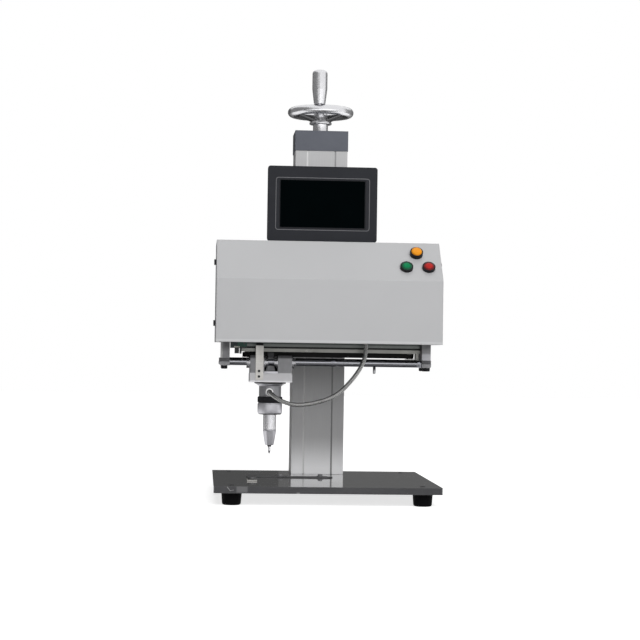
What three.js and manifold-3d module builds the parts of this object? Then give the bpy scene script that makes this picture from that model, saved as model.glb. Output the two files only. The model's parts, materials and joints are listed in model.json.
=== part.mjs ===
// Nameplate marking machine. A column with a handwheel carries a box-shaped head, and a two-axis
// gantry under the head moves an electromagnetic stylus over the base plate.
// Millimetres, +X to the right, +Y to the back, +Z up. Lengths below are counted from the middle
// of the base plate, and the whole machine is then moved so that the origin lies on the floor
// under the middle of its outer box, which the handwheel makes a little longer than the base.
import * as THREE from "three";
import { mergeVertices } from "three/addons/utils/BufferGeometryUtils.js";
import Module from "manifold-3d";

const wasm = await Module();
wasm.setup();

// Clearances
const seat = 0.2;
const slip = 0.4;
const overrun = 1;
const weld = 0.0001;

// Flats on round pieces
const roundSides = 24;
const smallSides = 16;
const ringSides = 32;
const wheelSides = 40;
const cornerSteps = 4;
const hoseSides = 8;

// Base plate and feet
const baseWidth = 400;
const baseDepth = 400;
const baseThick = 12;
const baseCorner = 4;
const footHeight = 21.8;
const footTopRadius = 18;
const footBottomRadius = 16.5;
const footRound = 3;
const footInsetX = 32;
const footInsetY = 30;
const footBoltRadius = 6;
const footBoltDepth = 8;
const baseBottom = footHeight + seat;
const baseTop = baseBottom + baseThick;

// Stops that locate the nameplate on the base
const stopScrewRadius = 2.5;
const stopTravel = 10;
const barLength = 160;
const barDepth = 20;
const barThick = 2;
const barPoint = 8;
const barX = -57;
const barY = 22;
const barScrewX = 0;
const barScrewSpacing = 75;
const blockWidth = 18;
const blockLength = 40;
const blockThick = 2;
const blockX = -130;
const blockY = -64;

// Column
const columnWidth = 100;
const columnDepth = 87;
const columnWall = 5;
const columnHeight = 621;
const columnRearGap = 3;
const slotSpacing = 53.4;
const slotWidth = 3.2;
const footBlockHeight = 30;
const capOverhang = 1;
const capHeight = 38.6;
const columnBackY = baseDepth / 2 - columnRearGap;
const columnFrontY = columnBackY - columnDepth;
const columnMidY = columnBackY - columnDepth / 2;
const columnBottom = baseTop + seat;
const columnTop = columnBottom + columnHeight;
const capBottom = columnTop + seat;
const capTop = capBottom + capHeight;
const hollowWidth = columnWidth - 2 * columnWall;
const hollowDepth = columnDepth - 2 * columnWall;

// Lead screw, handwheel and its turning handle
const screwRadius = 8;
const lowerJournalRadius = 5;
const lowerJournalLength = 18;
const upperJournalRadius = 6;
const shoulderGap = 5;
const hubBoreDepth = 34;
const hubHeight = 38;
const hubRadius = 13;
const neckRadius = 14.5;
const neckHeight = 17;
const flangeRadius = 21.6;
const flangeThick = 4.6;
const rimRadius = 54.5;
const rimTube = 8;
const rimSteps = 12;
const rimRise = 40.4;
const spokeWidth = 16;
const spokeThick = 6;
const spokeCount = 3;
const spokeDipShare = 0.7;
const spokeRootShare = 0.75;
const handleAngle = THREE.MathUtils.degToRad(-96.3);
const handleBossRadius = 10.5;
const handleBossRise = 0.6;
const handlePinRadius = 4;
const handlePinLength = 66;
const handlePinSink = 6;
const gripHeight = 66.1;
const gripBaseRadius = 10.2;
const gripRadius = 14.3;
const gripTaper = 22;
const gripDome = 9.5;
const gripDomeShare = 0.55;
const gripBoreDepth = 62;
const wheelBottom = capTop + slip;
const rimZ = wheelBottom + rimRise;

// Head cover
const coverWidth = 400;
const coverWall = 1.5;
const coverBottom = 284;
const coverFrontHeight = 112.5;
const facetRun = 64.6;
const facetRise = 70.4;
const coverFrontInset = 30;
const coverOverlap = 1.4;
const coverLip = 8;
const cutoutGap = 1;
const ventCount = 6;
const ventWidth = 60;
const ventHeight = 3;
const ventPitch = 9;
const ventZ = 385;
const coverFrontY = coverFrontInset - baseDepth / 2;
const facetBottom = coverBottom + coverFrontHeight;
const coverTop = facetBottom + facetRise;
const facetLength = Math.hypot(facetRun, facetRise);
const facetTilt = Math.atan2(facetRise, facetRun);

// Lift slider and back plate
const sliderHeight = 100;
const sliderBottom = 300;
const nutRadius = 14;
const nutLength = 34;
const nutFlangeRadius = 20;
const nutFlangeThick = 8;
const webGap = 0.3;
const webRoot = 3;
const plateWidth = 160;
const plateHeight = 162;
const plateBottom = 290;
const plateThick = 9.8;
const plateGap = 4.6;
const plateBackY = columnFrontY - plateGap;
const plateFrontY = plateBackY - plateThick;
const coverBackY = plateFrontY + coverOverlap;
const ventX = -(coverWidth + plateWidth) / 4;

// Frame inside the head, with the rods and the screw of the Y axis
const frameSideGap = 0.5;
const frameFrontGap = 2.5;
const frameSide = 3;
const frameFront = 8;
const frameRear = 10;
const frameHeight = 32;
const frameBottom = 300;
const yRodRadius = 6;
const yRodInset = 19;
const yRodRecess = 2;
const yScrewRadius = 4;
const yScrewX = 20;
const yScrewZ = 310;
const frameWidth = coverWidth - 2 * coverWall - 2 * frameSideGap;
const yRodX = frameWidth / 2 - yRodInset;
const frameFrontY = coverFrontY + coverWall + frameFrontGap;
const frameBackY = plateFrontY - seat;
const yRodZ = frameBottom + frameHeight / 2;

// Stepper motors
const motorSize = 42;
const motorLength = 40;
const motorCorner = 4;
const motorBossRadius = 11;
const motorBossRise = 2;
const shaftRadius = 2.5;
const shaftGrip = 14;

// Control board and power inlet
const boardWidth = 150;
const boardHeight = 90;
const boardThick = 1.6;
const boardBottom = 350;
const boardInset = 10;
const standoffRadius = 3;
const standoffLength = 9.8;
const sinkWidth = 50;
const sinkHeight = 30;
const sinkDepth = 14;
const sinkX = -30;
const capacitorRadius = 8;
const capacitorDepth = 20;
const capacitorX = 35;
const capacitorPitch = 20;
const terminalWidth = 100;
const terminalHeight = 9;
const terminalDepth = 11;
const inletShift = 10;
const inletZ = 352;
const inletFlangeWidth = 31;
const inletFlangeHeight = 24;
const inletFlangeThick = 2.5;
const inletWidth = 27.5;
const inletHeight = 20;
const inletDepth = 22;
const inletWall = 1.8;
const inletRecess = 17;
const inletX = (coverWidth + plateWidth) / 4 - inletShift;

// Touch-screen unit
const hmiWidth = 200;
const hmiHeight = 136.8;
const hmiX = -9.2;
const hmiFrontY = -68.2;
const hmiLift = 2;
const hmiCorner = 5;
const hmiBezelThick = 7;
const hmiRearWidth = 186;
const hmiRearHeight = 122;
const hmiRearDepth = 30;
const hmiWall = 2.5;
const displayWidth = 154.6;
const displayHeight = 86;
const displaySink = 3;
const displayThick = 2.4;
const neckWidth = 60;
const neckDepth = 22;
const cableHoleRadius = 6;
const hmiBottom = coverTop + hmiLift;
const hmiMidZ = hmiBottom + hmiHeight / 2;

// Push buttons on the sloped facet
const buttonPitch = 39.6;
const buttonInset = 43.7;
const lowerButtonRise = 31.4;
const upperButtonRise = 65.4;
const collarRadius = 11.6;
const collarRim = 1.6;
const lowCollarHeight = 5.6;
const highCollarHeight = 8.4;
const collarFloor = 1;
const barrelRadius = 8;
const barrelLength = 24;
const barrelGap = 0.3;
const stemRadius = 3;
const stemLength = 16;
const capProud = 1.4;
const capCrownShare = 0.8;
const capCrownRise = 1.2;
const capClearance = 0.4;
const buttonTravel = 3;
const buttonX = coverWidth / 2 - buttonInset;

// Gantry under the head
const gantryY = -58;
const gantryDepth = 68;
const xRodRadius = 6;
const xRodSpacing = 43;
const xRodZ = 248.5;
const xRodRecess = 1;
const bracketShift = 5.3;
const bracketThick = 15.8;
const bracketFoot = 6.2;
const bearingBlockWidth = 28;
const bearingBlockHeight = 32;
const shelfThick = 6;
const shelfReach = 54.7;
const shelfFront = 31.2;
const shelfBack = 24;
const beamSize = 20;
const beamBottom = 267.5;
const beamShort = 21.7;
const grooveBottom = 6.4;
const grooveHeight = 3;
const grooveDepth = 3;
const nutBlockWidth = 24;
const nutBlockDepth = 18;
const nutBlockWall = 10;
const hoseArmWidth = 16;
const hoseArmReach = 55;
const hoseArmThick = 8;
const hoseArmRise = 3.5;
const hoseArmBore = 3;
const pinInset = 85.2;
const pinRadius = 2.5;
const pinShank = 2;
const pinDrop = 12.2;
const pinSink = 4.6;
const pinRound = 1.2;
const bracketBottom = xRodZ - bracketFoot;
const bracketInner = yRodX - bracketShift;
const bracketOuter = bracketInner + bracketThick;
const shelfEnd = bracketInner - shelfReach;
const beamLeft = bracketInner - beamShort;
const pinX = bracketInner - pinInset;
const bearingBlockBottom = yRodZ - bearingBlockHeight / 2;
const beamTop = beamBottom + beamSize;
const shelfBottom = beamTop + seat;
const shelfTop = shelfBottom + shelfThick;

// Belt drive of the X axis
const driveInset = 31.2;
const idlerInset = 18.9;
const pulleyRadius = 5.7;
const beltGap = 0.3;
const beltThick = 1.6;
const beltHeight = 8;
const beltBottom = 258.4;
const beltSteps = 10;
const pulleyFlangeRadius = 8.3;
const pulleyFlangeThick = 1.2;
const pulleyTopGap = 0.6;
const idlerTabGap = 10.2;
const idlerTabThick = 5.5;
const idlerTabDepth = 18;
const idlerTabDrop = 12;
const driveX = driveInset - bracketInner;
const idlerX = bracketInner - idlerInset;
const beltInner = pulleyRadius + beltGap;
const pulleyBottom = beltBottom - seat - pulleyFlangeThick;
const pulleyTop = beamBottom - pulleyTopGap;

// Home sensor board at the left end of the beam
const sensorWidth = 30;
const sensorHeight = 20.2;
const sensorInset = 15.7;
const sensorPlugShift = 3;
const sensorPlugWidth = 8;
const sensorPlugDepth = 7;
const sensorPlugDrop = 9.6;
const sensorForkShift = 3.7;
const sensorForkWidth = 3.6;
const sensorForkDepth = 6;
const sensorForkDrop = 10;
const sensorForkRise = 3.4;
const sensorX = sensorInset - bracketInner;
const sensorPlugX = sensorX - sensorPlugShift;
const sensorForkX = sensorX + sensorForkShift;
const sensorBottom = shelfTop - sensorHeight;

// Carriage
const carriageInset = 74.7;
const carriageWidth = 76.6;
const carriageBottom = 212.8;
const carriageThick = 15.3;
const earInner = 12.3;
const earOuter = 37.5;
const earTop = 261;
const earDepth = 24.5;
const bearingRadius = 10.5;
const bearingNoseRadius = 7.5;
const bearingNose = 4;
const bearingFlange = 2.6;
const bearingBoreGap = 0.3;
const longBearingLength = 57;
const towerWidth = 11.2;
const towerFront = 11;
const towerBack = 4.4;
const flagX = -21;
const flagWidth = 14;
const flagThick = 2.5;
const flagGap = 0.3;
const flagBottom = 217;
const flagTop = 278.6;
const carriageX = carriageInset - bracketInner;
const carriageTop = carriageBottom + carriageThick;

// Stylus
const stylusFlangeRadius = 27.6;
const stylusFlangeThick = 2.8;
const stylusConeRadius = 21.5;
const stylusConeHeight = 3.5;
const housingRadius = 20;
const housingHeight = 26.1;
const housingRoof = 5;
const housingCavity = 13;
const housingNeckRadius = 15;
const housingNeckHeight = 28;
const bossRadius = 8;
const bossShift = -2.2;
const bossReach = 22;
const bossZ = 195;
const coilHeight = 17;
const coilBoreRadius = 6.9;
const plungerRadius = 6.2;
const plungerHeight = 25;
const plungerRoofGap = 3.5;
const needleRadius = 2.5;
const needleLength = 96.5;
const needlePoint = 5;
const needleTipRadius = 0.5;
const lockRingHeight = 10.8;
const ringRadius = 22.4;
const ringRound = 1.2;
const strokeRingHeight = 20;
const strokeRingFloor = 3;
const tubeRadius = 12;
const tubeBoreRadius = 7.5;
const tubeHeight = 50;
const tubeTop = 176.5;
const noseHeight = 28.2;
const noseTipRadius = 7.6;
const noseSpigotRadius = 7.2;
const noseSpigotHeight = 7;
const springWall = 1.5;
const springInnerRadius = 4.2;
const glandRadius = 6.9;
const glandLength = 9;
const glandBore = 2.6;
const housingTop = carriageBottom - seat;
const housingBottom = housingTop - housingHeight;
const strokeRingTop = housingBottom - lockRingHeight - 2 * seat;
const tubeBottom = tubeTop - tubeHeight;
const noseTop = tubeBottom - seat;
const plungerTop = housingTop - housingRoof - plungerRoofGap;
const plungerBottom = plungerTop - plungerHeight;

// Armoured hose from the gland to the arm on the beam. Its route is chosen by hand.
const hoseRadius = 3.9;
const hoseValleyRadius = 3.3;
const hoseBore = 2.3;
const hoseRibs = 92;
const hoseRingShare = 2;
const boreRibShare = 5;
const hoseRoute = [
  [-2.2, -31.5, 195],
  [-2.2, -38.5, 195],
  [-1.6, -45.7, 194.4],
  [0, -52.9, 192.7],
  [4.5, -62.1, 188.9],
  [11.4, -69.2, 184.2],
  [20.3, -73.8, 179.7],
  [30.7, -75.6, 176.2],
  [41.6, -75, 174.3],
  [52.3, -72.6, 174.2],
  [62.9, -70.2, 175.4],
  [73.6, -68.9, 177.2],
  [84.2, -68.5, 179.8],
  [94.7, -68.2, 182.9],
  [104.8, -67.5, 186.9],
  [114.4, -66.5, 192],
  [123.2, -65.3, 198.4],
  [131.1, -63.9, 205.7],
  [138.5, -62.3, 213.6],
  [145.6, -60.4, 221.8],
  [152.1, -58.2, 230.3],
  [158, -55.8, 239.1],
  [163, -53.2, 248.5],
  [166.7, -50.7, 258.5],
  [168.7, -48.7, 269],
  [169.6, -47.3, 279.8],
  [169.8, -47, 290.7],
].map(([x, y, z]) => [carriageX + x, gantryY + y, z]);
const hoseTop = hoseRoute[hoseRoute.length - 1];

// Colours and finishes
const look = (color, roughness, metalness) => () =>
  new THREE.MeshStandardMaterial({ color, roughness, metalness });
const darkPaint = look(0x55575a, 0.35, 0.2);
const rubber = look(0x151515, 0.8, 0);
const blackPlastic = look(0x1a1a1c, 0.5, 0);
const charcoal = look(0x37393d, 0.55, 0);
const anodised = look(0xb9bbbc, 0.4, 0.7);
const capPaint = look(0x666970, 0.5, 0.1);
const coverPaint = look(0xc4c5c6, 0.45, 0);
const machined = look(0xb4b2ae, 0.35, 0.8);
const castGrey = look(0x8f8f92, 0.45, 0.6);
const chrome = look(0xd0d0d4, 0.12, 1);
const satin = look(0xb8b8bb, 0.28, 0.9);
const darkSteel = look(0x3b3c3f, 0.45, 0.7);
const bronze = look(0xa8853f, 0.4, 0.8);
const screenGlass = look(0x050507, 0.1, 0);
const boardGreen = look(0x1c5a3c, 0.5, 0);
const whitePlastic = look(0xe8e8e6, 0.5, 0);
const conduit = look(0x9a9a98, 0.35, 0.8);
const amber = look(0xe8971c, 0.3, 0);
const green = look(0x129355, 0.3, 0);
const red = look(0xd8362c, 0.3, 0);

// Turns a closed three.js geometry into a solid that can be cut and joined.
function toSolid(geometry) {
  const bare = geometry.clone();
  bare.deleteAttribute("normal");
  bare.deleteAttribute("uv");
  const merged = mergeVertices(bare, weld);
  const corner = merged.index.array;
  const spot = merged.attributes.position;
  const triangles = [];
  for (let i = 0; i < corner.length; i += 3) {
    const [a, b, c] = [corner[i], corner[i + 1], corner[i + 2]];
    if (a !== b && b !== c && c !== a) triangles.push([a, b, c]);
  }
  const [p, q, r] = [new THREE.Vector3(), new THREE.Vector3(), new THREE.Vector3()];
  let volume = 0;
  for (const [a, b, c] of triangles) {
    p.fromBufferAttribute(spot, a);
    q.fromBufferAttribute(spot, b);
    r.fromBufferAttribute(spot, c);
    volume += p.dot(q.cross(r));
  }
  if (volume < 0) for (const triangle of triangles) triangle.reverse();
  const mesh = new wasm.Mesh({
    numProp: 3,
    vertProperties: new Float32Array(spot.array),
    triVerts: new Uint32Array(triangles.flat()),
  });
  return new wasm.Manifold(mesh);
}

function toGeometry(solid) {
  const mesh = solid.getMesh();
  const geometry = new THREE.BufferGeometry();
  geometry.setAttribute("position", new THREE.BufferAttribute(mesh.vertProperties, 3));
  geometry.setIndex(new THREE.BufferAttribute(mesh.triVerts, 1));
  return geometry;
}

const join = (...pieces) => toGeometry(pieces.map(toSolid).reduce((a, b) => a.add(b)));

const cut = (body, ...tools) =>
  toGeometry(tools.map(toSolid).reduce((a, b) => a.subtract(b), toSolid(body)));

// A block that is centred in X and Y and stands on Z = 0.
const block = (width, depth, height) =>
  new THREE.BoxGeometry(width, depth, height).translate(0, 0, height / 2);

// A block between two corners.
function span(x0, x1, y0, y1, z0, z1) {
  const size = new THREE.BoxGeometry(x1 - x0, y1 - y0, z1 - z0);
  return size.translate((x0 + x1) / 2, (y0 + y1) / 2, (z0 + z1) / 2);
}

// A round bar along +Z, +X or +Y, from its near end at the origin.
const bar = (radius, length, sides = roundSides) =>
  new THREE.CylinderGeometry(radius, radius, length, sides).rotateX(Math.PI / 2).translate(0, 0, length / 2);
const barAlongX = (radius, length, sides) => bar(radius, length, sides).rotateY(Math.PI / 2);
const barAlongY = (radius, length, sides) => bar(radius, length, sides).rotateX(-Math.PI / 2);

// A turned piece about Z, from pairs of radius and height.
function turned(profile, sides = roundSides) {
  const points = profile.map(([radius, height]) => new THREE.Vector2(radius, height));
  return new THREE.LatheGeometry(points, sides).rotateX(Math.PI / 2);
}

// Points of a quarter circle in a turned profile.
function quarter(radius, height, round, from, steps = cornerSteps) {
  const points = [];
  for (let i = 0; i <= steps; i++) {
    const angle = from + (Math.PI / 2) * (i / steps);
    points.push([radius + round * Math.cos(angle), height + round * Math.sin(angle)]);
  }
  return points;
}

function roundedRectangle(width, height, corner) {
  const shape = new THREE.Shape();
  const [x, y] = [width / 2, height / 2];
  shape.moveTo(corner - x, -y);
  shape.lineTo(x - corner, -y);
  shape.absarc(x - corner, corner - y, corner, -Math.PI / 2, 0);
  shape.lineTo(x, y - corner);
  shape.absarc(x - corner, y - corner, corner, 0, Math.PI / 2);
  shape.lineTo(corner - x, y);
  shape.absarc(corner - x, y - corner, corner, Math.PI / 2, Math.PI);
  shape.lineTo(-x, corner - y);
  shape.absarc(corner - x, corner - y, corner, Math.PI, Math.PI * 1.5);
  return shape;
}

// An outline with two straight sides and round ends, long in X.
function stadium(halfLength, radius, Kind = THREE.Shape) {
  const outline = new Kind();
  outline.moveTo(-halfLength, -radius);
  outline.lineTo(halfLength, -radius);
  outline.absarc(halfLength, 0, radius, -Math.PI / 2, Math.PI / 2);
  outline.lineTo(-halfLength, radius);
  outline.absarc(-halfLength, 0, radius, Math.PI / 2, Math.PI * 1.5);
  return outline;
}

const extruded = (shape, height, steps = cornerSteps) =>
  new THREE.ExtrudeGeometry(shape, { depth: height, bevelEnabled: false, curveSegments: steps });

// A side outline, given in Y and Z, drawn out along X about X = 0.
function drawnAlongX(outline, width) {
  const shape = new THREE.Shape(outline.map(([y, z]) => new THREE.Vector2(y, z)));
  const turn = new THREE.Matrix4().makeBasis(
    new THREE.Vector3(0, 1, 0),
    new THREE.Vector3(0, 0, 1),
    new THREE.Vector3(1, 0, 0),
  );
  return extruded(shape, width).applyMatrix4(turn).translate(-width / 2, 0, 0);
}

function add(group, name, geometry, finish, x = 0, y = 0, z = 0) {
  const mesh = new THREE.Mesh(geometry, finish());
  mesh.name = name;
  mesh.position.set(x, y, z);
  group.add(mesh);
  return mesh;
}

const machine = new THREE.Group();
machine.position.y = -(columnMidY + rimRadius + rimTube - baseDepth / 2) / 2;

// Stand: base plate, feet, stops and column
const stand = new THREE.Group();
machine.add(stand);

function footShape() {
  return turned([
    [0, footBoltDepth],
    [footBoltRadius, footBoltDepth],
    [footBoltRadius, 0],
    ...quarter(footBottomRadius - footRound, footRound, footRound, -Math.PI / 2, 2),
    [footTopRadius, footHeight],
    [0, footHeight],
  ]);
}

function addBase() {
  const plate = extruded(roundedRectangle(baseWidth, baseDepth, baseCorner), baseThick);
  add(stand, "base_plate", plate, darkPaint, 0, 0, baseBottom);
  const x = baseWidth / 2 - footInsetX;
  const y = baseDepth / 2 - footInsetY;
  for (const [end, sign] of [["front", -1], ["rear", 1]]) {
    add(stand, `foot_${end}_left`, footShape(), rubber, -x, sign * y, 0);
    add(stand, `foot_${end}_right`, footShape(), rubber, x, sign * y, 0);
  }
}

// A slot for a thumb screw, long enough for the stop's travel each way.
const screwSlot = (thick) =>
  extruded(stadium(stopTravel, stopScrewRadius + slip), thick + 2 * overrun).translate(0, 0, -overrun);

function addStops() {
  const outline = new THREE.Shape();
  const [x, y] = [barLength / 2, barDepth / 2];
  outline.moveTo(-x, -y);
  outline.lineTo(x - barPoint, -y);
  outline.lineTo(x, 0);
  outline.lineTo(x - barPoint, y);
  outline.lineTo(-x, y);
  const backStop = cut(
    extruded(outline, barThick),
    screwSlot(barThick).translate(barScrewX - barX, 0, 0),
    screwSlot(barThick).translate(barScrewX - barScrewSpacing - barX, 0, 0),
  );
  add(stand, "stop_bar", backStop, darkSteel, barX, barY, baseTop + seat);
  const side = cut(block(blockWidth, blockLength, blockThick), screwSlot(blockThick).rotateZ(Math.PI / 2));
  add(stand, "stop_block", side, machined, blockX, blockY, baseTop + seat);
}

function addColumn() {
  const lip = slotSpacing / 2 + slotWidth / 2;
  const half = columnWidth / 2;
  const inner = half - columnWall;
  const front = -columnDepth / 2;
  const back = columnDepth / 2;
  const channel = new THREE.Shape(
    [
      [-half, front],
      [-lip, front],
      [-lip, front + columnWall],
      [-inner, front + columnWall],
      [-inner, back - columnWall],
      [inner, back - columnWall],
      [inner, front + columnWall],
      [lip, front + columnWall],
      [lip, front],
      [half, front],
      [half, back],
      [-half, back],
    ].map(([x, y]) => new THREE.Vector2(x, y)),
  );
  add(stand, "column_profile", extruded(channel, columnHeight), anodised, 0, columnMidY, columnBottom);
  const strip = block(slotSpacing - slotWidth, columnWall, columnHeight);
  add(stand, "column_front_strip", strip, anodised, 0, columnFrontY + columnWall / 2, columnBottom);

  const width = hollowWidth - 2 * seat;
  const depth = hollowDepth - 2 * seat;
  const socketDepth = lowerJournalLength + slip;
  const socket = bar(lowerJournalRadius + slip, socketDepth + overrun);
  socket.translate(0, 0, footBlockHeight - socketDepth);
  const foot = cut(block(width, depth, footBlockHeight), socket);
  add(stand, "column_foot_block", foot, darkSteel, 0, columnMidY, columnBottom);

  const capWidth = columnWidth + 2 * capOverhang;
  const capDepth = columnDepth + 2 * capOverhang;
  const bore = bar(upperJournalRadius + slip, capHeight + 2 * overrun).translate(0, 0, -overrun);
  const cap = cut(block(capWidth, capDepth, capHeight), bore);
  add(stand, "column_cap", cap, capPaint, 0, columnMidY, capBottom);
}

// Handwheel, lead screw and handle, about the screw's axis
const wheel = new THREE.Group();
wheel.position.set(0, columnMidY, 0);
machine.add(wheel);

function addLeadScrew() {
  const blockTop = columnBottom + footBlockHeight;
  const bottom = blockTop - lowerJournalLength;
  const lowShoulder = blockTop + slip;
  const highShoulder = capBottom - shoulderGap;
  const top = wheelBottom + hubBoreDepth - slip;
  const screw = turned(
    [
      [0, bottom],
      [lowerJournalRadius, bottom],
      [lowerJournalRadius, lowShoulder],
      [screwRadius, lowShoulder],
      [screwRadius, highShoulder],
      [upperJournalRadius, highShoulder],
      [upperJournalRadius, top],
      [0, top],
    ],
    smallSides,
  );
  add(wheel, "lead_screw", screw, satin);
}

function addHandwheel() {
  const bore = upperJournalRadius + seat;
  const flangeTop = neckHeight + flangeThick;
  const hub = turned([
    [0, hubBoreDepth],
    [bore, hubBoreDepth],
    [bore, 0],
    [neckRadius, 0],
    [neckRadius, neckHeight],
    [flangeRadius, neckHeight],
    [flangeRadius, flangeTop],
    [hubRadius, flangeTop],
    [hubRadius, hubHeight],
    [0, hubHeight],
  ]);
  const ring = [];
  for (let i = 0; i <= rimSteps; i++) {
    const angle = (2 * Math.PI * (i % rimSteps)) / rimSteps;
    ring.push([rimRadius + rimTube * Math.cos(angle), rimRise + rimTube * Math.sin(angle)]);
  }
  const rim = turned(ring, wheelSides);

  const root = hubRadius * spokeRootShare;
  const dip = THREE.MathUtils.lerp(root, rimRadius, spokeDipShare);
  const low = neckHeight;
  const high = rimRise - spokeThick / 2;
  const side = new THREE.Shape();
  side.moveTo(root, low);
  side.quadraticCurveTo(dip, low, rimRadius, high);
  side.lineTo(rimRadius, high + spokeThick);
  side.quadraticCurveTo(dip, low + spokeThick, root, low + spokeThick);
  const spokes = [];
  for (let i = 0; i < spokeCount; i++) {
    const spoke = extruded(side, spokeWidth, 2 * cornerSteps).rotateX(Math.PI / 2);
    spokes.push(spoke.translate(0, spokeWidth / 2, 0).rotateZ(handleAngle + (2 * Math.PI * i) / spokeCount));
  }
  const x = rimRadius * Math.cos(handleAngle);
  const y = rimRadius * Math.sin(handleAngle);
  const boss = bar(handleBossRadius, rimTube + handleBossRise).translate(x, y, rimRise);
  const hole = bar(handlePinRadius + seat, 2 * rimTube + 2 * overrun);
  const body = cut(join(hub, rim, ...spokes, boss), hole.translate(x, y, rimRise - rimTube - overrun));
  add(wheel, "handwheel", body, satin, 0, 0, wheelBottom);

  const pin = bar(handlePinRadius, handlePinLength, smallSides);
  add(wheel, "handle_pin", pin, satin, x, y, rimZ - handlePinSink);

  const domeStart = gripHeight - gripDome;
  const dome = [];
  for (let i = 1; i <= cornerSteps; i++) {
    const angle = (Math.PI / 2) * (i / cornerSteps);
    const radius = gripRadius * (1 - (1 - Math.cos(angle)) * gripDomeShare);
    dome.push([radius, domeStart + gripDome * Math.sin(angle)]);
  }
  const gripBore = handlePinRadius + slip;
  const grip = turned([
    [0, gripBoreDepth],
    [gripBore, gripBoreDepth],
    [gripBore, 0],
    [gripBaseRadius, 0],
    [gripRadius, gripTaper],
    [gripRadius, domeStart],
    ...dome,
    [0, gripHeight],
  ]);
  add(wheel, "handle_grip", grip, satin, x, y, rimZ + rimTube + handleBossRise + seat);
}

// Head: everything that the lead screw raises and lowers
const head = new THREE.Group();
machine.add(head);

function addLift() {
  const width = hollowWidth - 2 * slip;
  const depth = hollowDepth - 2 * slip;
  const webThick = slotWidth - 2 * webGap;
  const webFront = plateBackY + seat - columnMidY;
  const webBack = webRoot - depth / 2;
  const web = (x) => span(x - webThick / 2, x + webThick / 2, webFront, webBack, 0, sliderHeight);
  const body = join(block(width, depth, sliderHeight), web(-slotSpacing / 2), web(slotSpacing / 2));
  const bore = bar(nutRadius + seat, sliderHeight + 2 * overrun).translate(0, 0, -overrun);
  add(head, "lift_slider", cut(body, bore), darkSteel, 0, columnMidY, sliderBottom);

  const hole = screwRadius + bearingBoreGap;
  const nut = turned([
    [hole, -nutFlangeThick - seat],
    [nutFlangeRadius, -nutFlangeThick - seat],
    [nutFlangeRadius, -seat],
    [nutRadius, -seat],
    [nutRadius, nutLength],
    [hole, nutLength],
    [hole, -nutFlangeThick - seat],
  ]);
  add(head, "lead_nut", nut, bronze, 0, columnMidY, sliderBottom);

  const plate = block(plateWidth, plateThick, plateHeight);
  add(head, "head_back_plate", plate, darkSteel, 0, plateBackY - plateThick / 2, plateBottom);
}

function addFrame() {
  const half = frameWidth / 2;
  const top = frameHeight;
  const front = span(-half, half, frameFrontY, frameFrontY + frameFront, 0, top);
  const rear = span(-half, half, frameBackY - frameRear, frameBackY, 0, top);
  const left = span(-half, frameSide - half, frameFrontY, frameBackY, 0, top);
  const right = span(half - frameSide, half, frameFrontY, frameBackY, 0, top);
  const length = frameBackY - frameFrontY + 2 * overrun;
  const bore = (x) =>
    barAlongY(yRodRadius + seat, length).translate(x, frameFrontY - overrun, yRodZ - frameBottom);
  const screwHole = barAlongY(yScrewRadius + slip, frameFront + 2 * overrun);
  const body = cut(
    join(front, rear, left, right),
    bore(-yRodX),
    bore(yRodX),
    screwHole.translate(yScrewX, frameFrontY - overrun, yScrewZ - frameBottom),
  );
  add(head, "head_frame", body, darkSteel, 0, 0, frameBottom);
  const rodLength = frameBackY - frameFrontY - 2 * yRodRecess;
  for (const [side, sign] of [["left", -1], ["right", 1]]) {
    const rod = barAlongY(yRodRadius, rodLength, smallSides);
    add(head, `y_rod_${side}`, rod, chrome, sign * yRodX, frameFrontY + yRodRecess, yRodZ);
  }
}

// A square motor that stands on Z = 0 with its boss and shaft hole facing down.
function motorShape(hole) {
  const body = extruded(roundedRectangle(motorSize, motorSize, motorCorner), motorLength, 1);
  const boss = bar(motorBossRadius, motorBossRise + overrun).translate(0, 0, -motorBossRise);
  const bore = bar(hole, shaftGrip + slip + overrun + motorBossRise);
  return cut(join(body, boss), bore.translate(0, 0, -overrun - motorBossRise));
}

function addYDrive() {
  const face = frameBackY - frameRear - seat - motorLength;
  const motor = motorShape(yScrewRadius + slip).rotateX(-Math.PI / 2);
  add(head, "y_motor", motor, blackPlastic, yScrewX, face, yScrewZ);
  const start = frameFrontY + yRodRecess;
  const screw = barAlongY(yScrewRadius, face + shaftGrip - start, smallSides);
  add(head, "y_screw", screw, satin, yScrewX, start, yScrewZ);
}

function addBoard() {
  const [x, z] = [boardWidth / 2 - boardInset, boardHeight / 2 - boardInset];
  const parts = [span(-boardWidth / 2, boardWidth / 2, -boardThick, 0, -boardHeight / 2, boardHeight / 2)];
  for (const [sx, sz] of [[-1, -1], [1, -1], [-1, 1], [1, 1]]) {
    const standoff = barAlongY(standoffRadius, standoffLength + boardThick, smallSides);
    parts.push(standoff.translate(sx * x, -boardThick, sz * z));
  }
  const depth = -boardThick;
  const sink = [sinkX - sinkWidth / 2, sinkX + sinkWidth / 2];
  parts.push(span(...sink, depth - sinkDepth, 0, -sinkHeight / 2, sinkHeight / 2));
  for (const side of [0, 1]) {
    const can = barAlongY(capacitorRadius, capacitorDepth + boardThick, smallSides);
    parts.push(can.translate(capacitorX + side * capacitorPitch, depth - capacitorDepth, 0));
  }
  const edge = boardInset - boardHeight / 2;
  const terminals = [-terminalWidth / 2, terminalWidth / 2, depth - terminalDepth, 0];
  parts.push(span(...terminals, edge, edge + terminalHeight));
  const y = plateFrontY - seat - standoffLength;
  add(head, "control_board", join(...parts), boardGreen, 0, y, boardBottom + boardHeight / 2);
}

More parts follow.
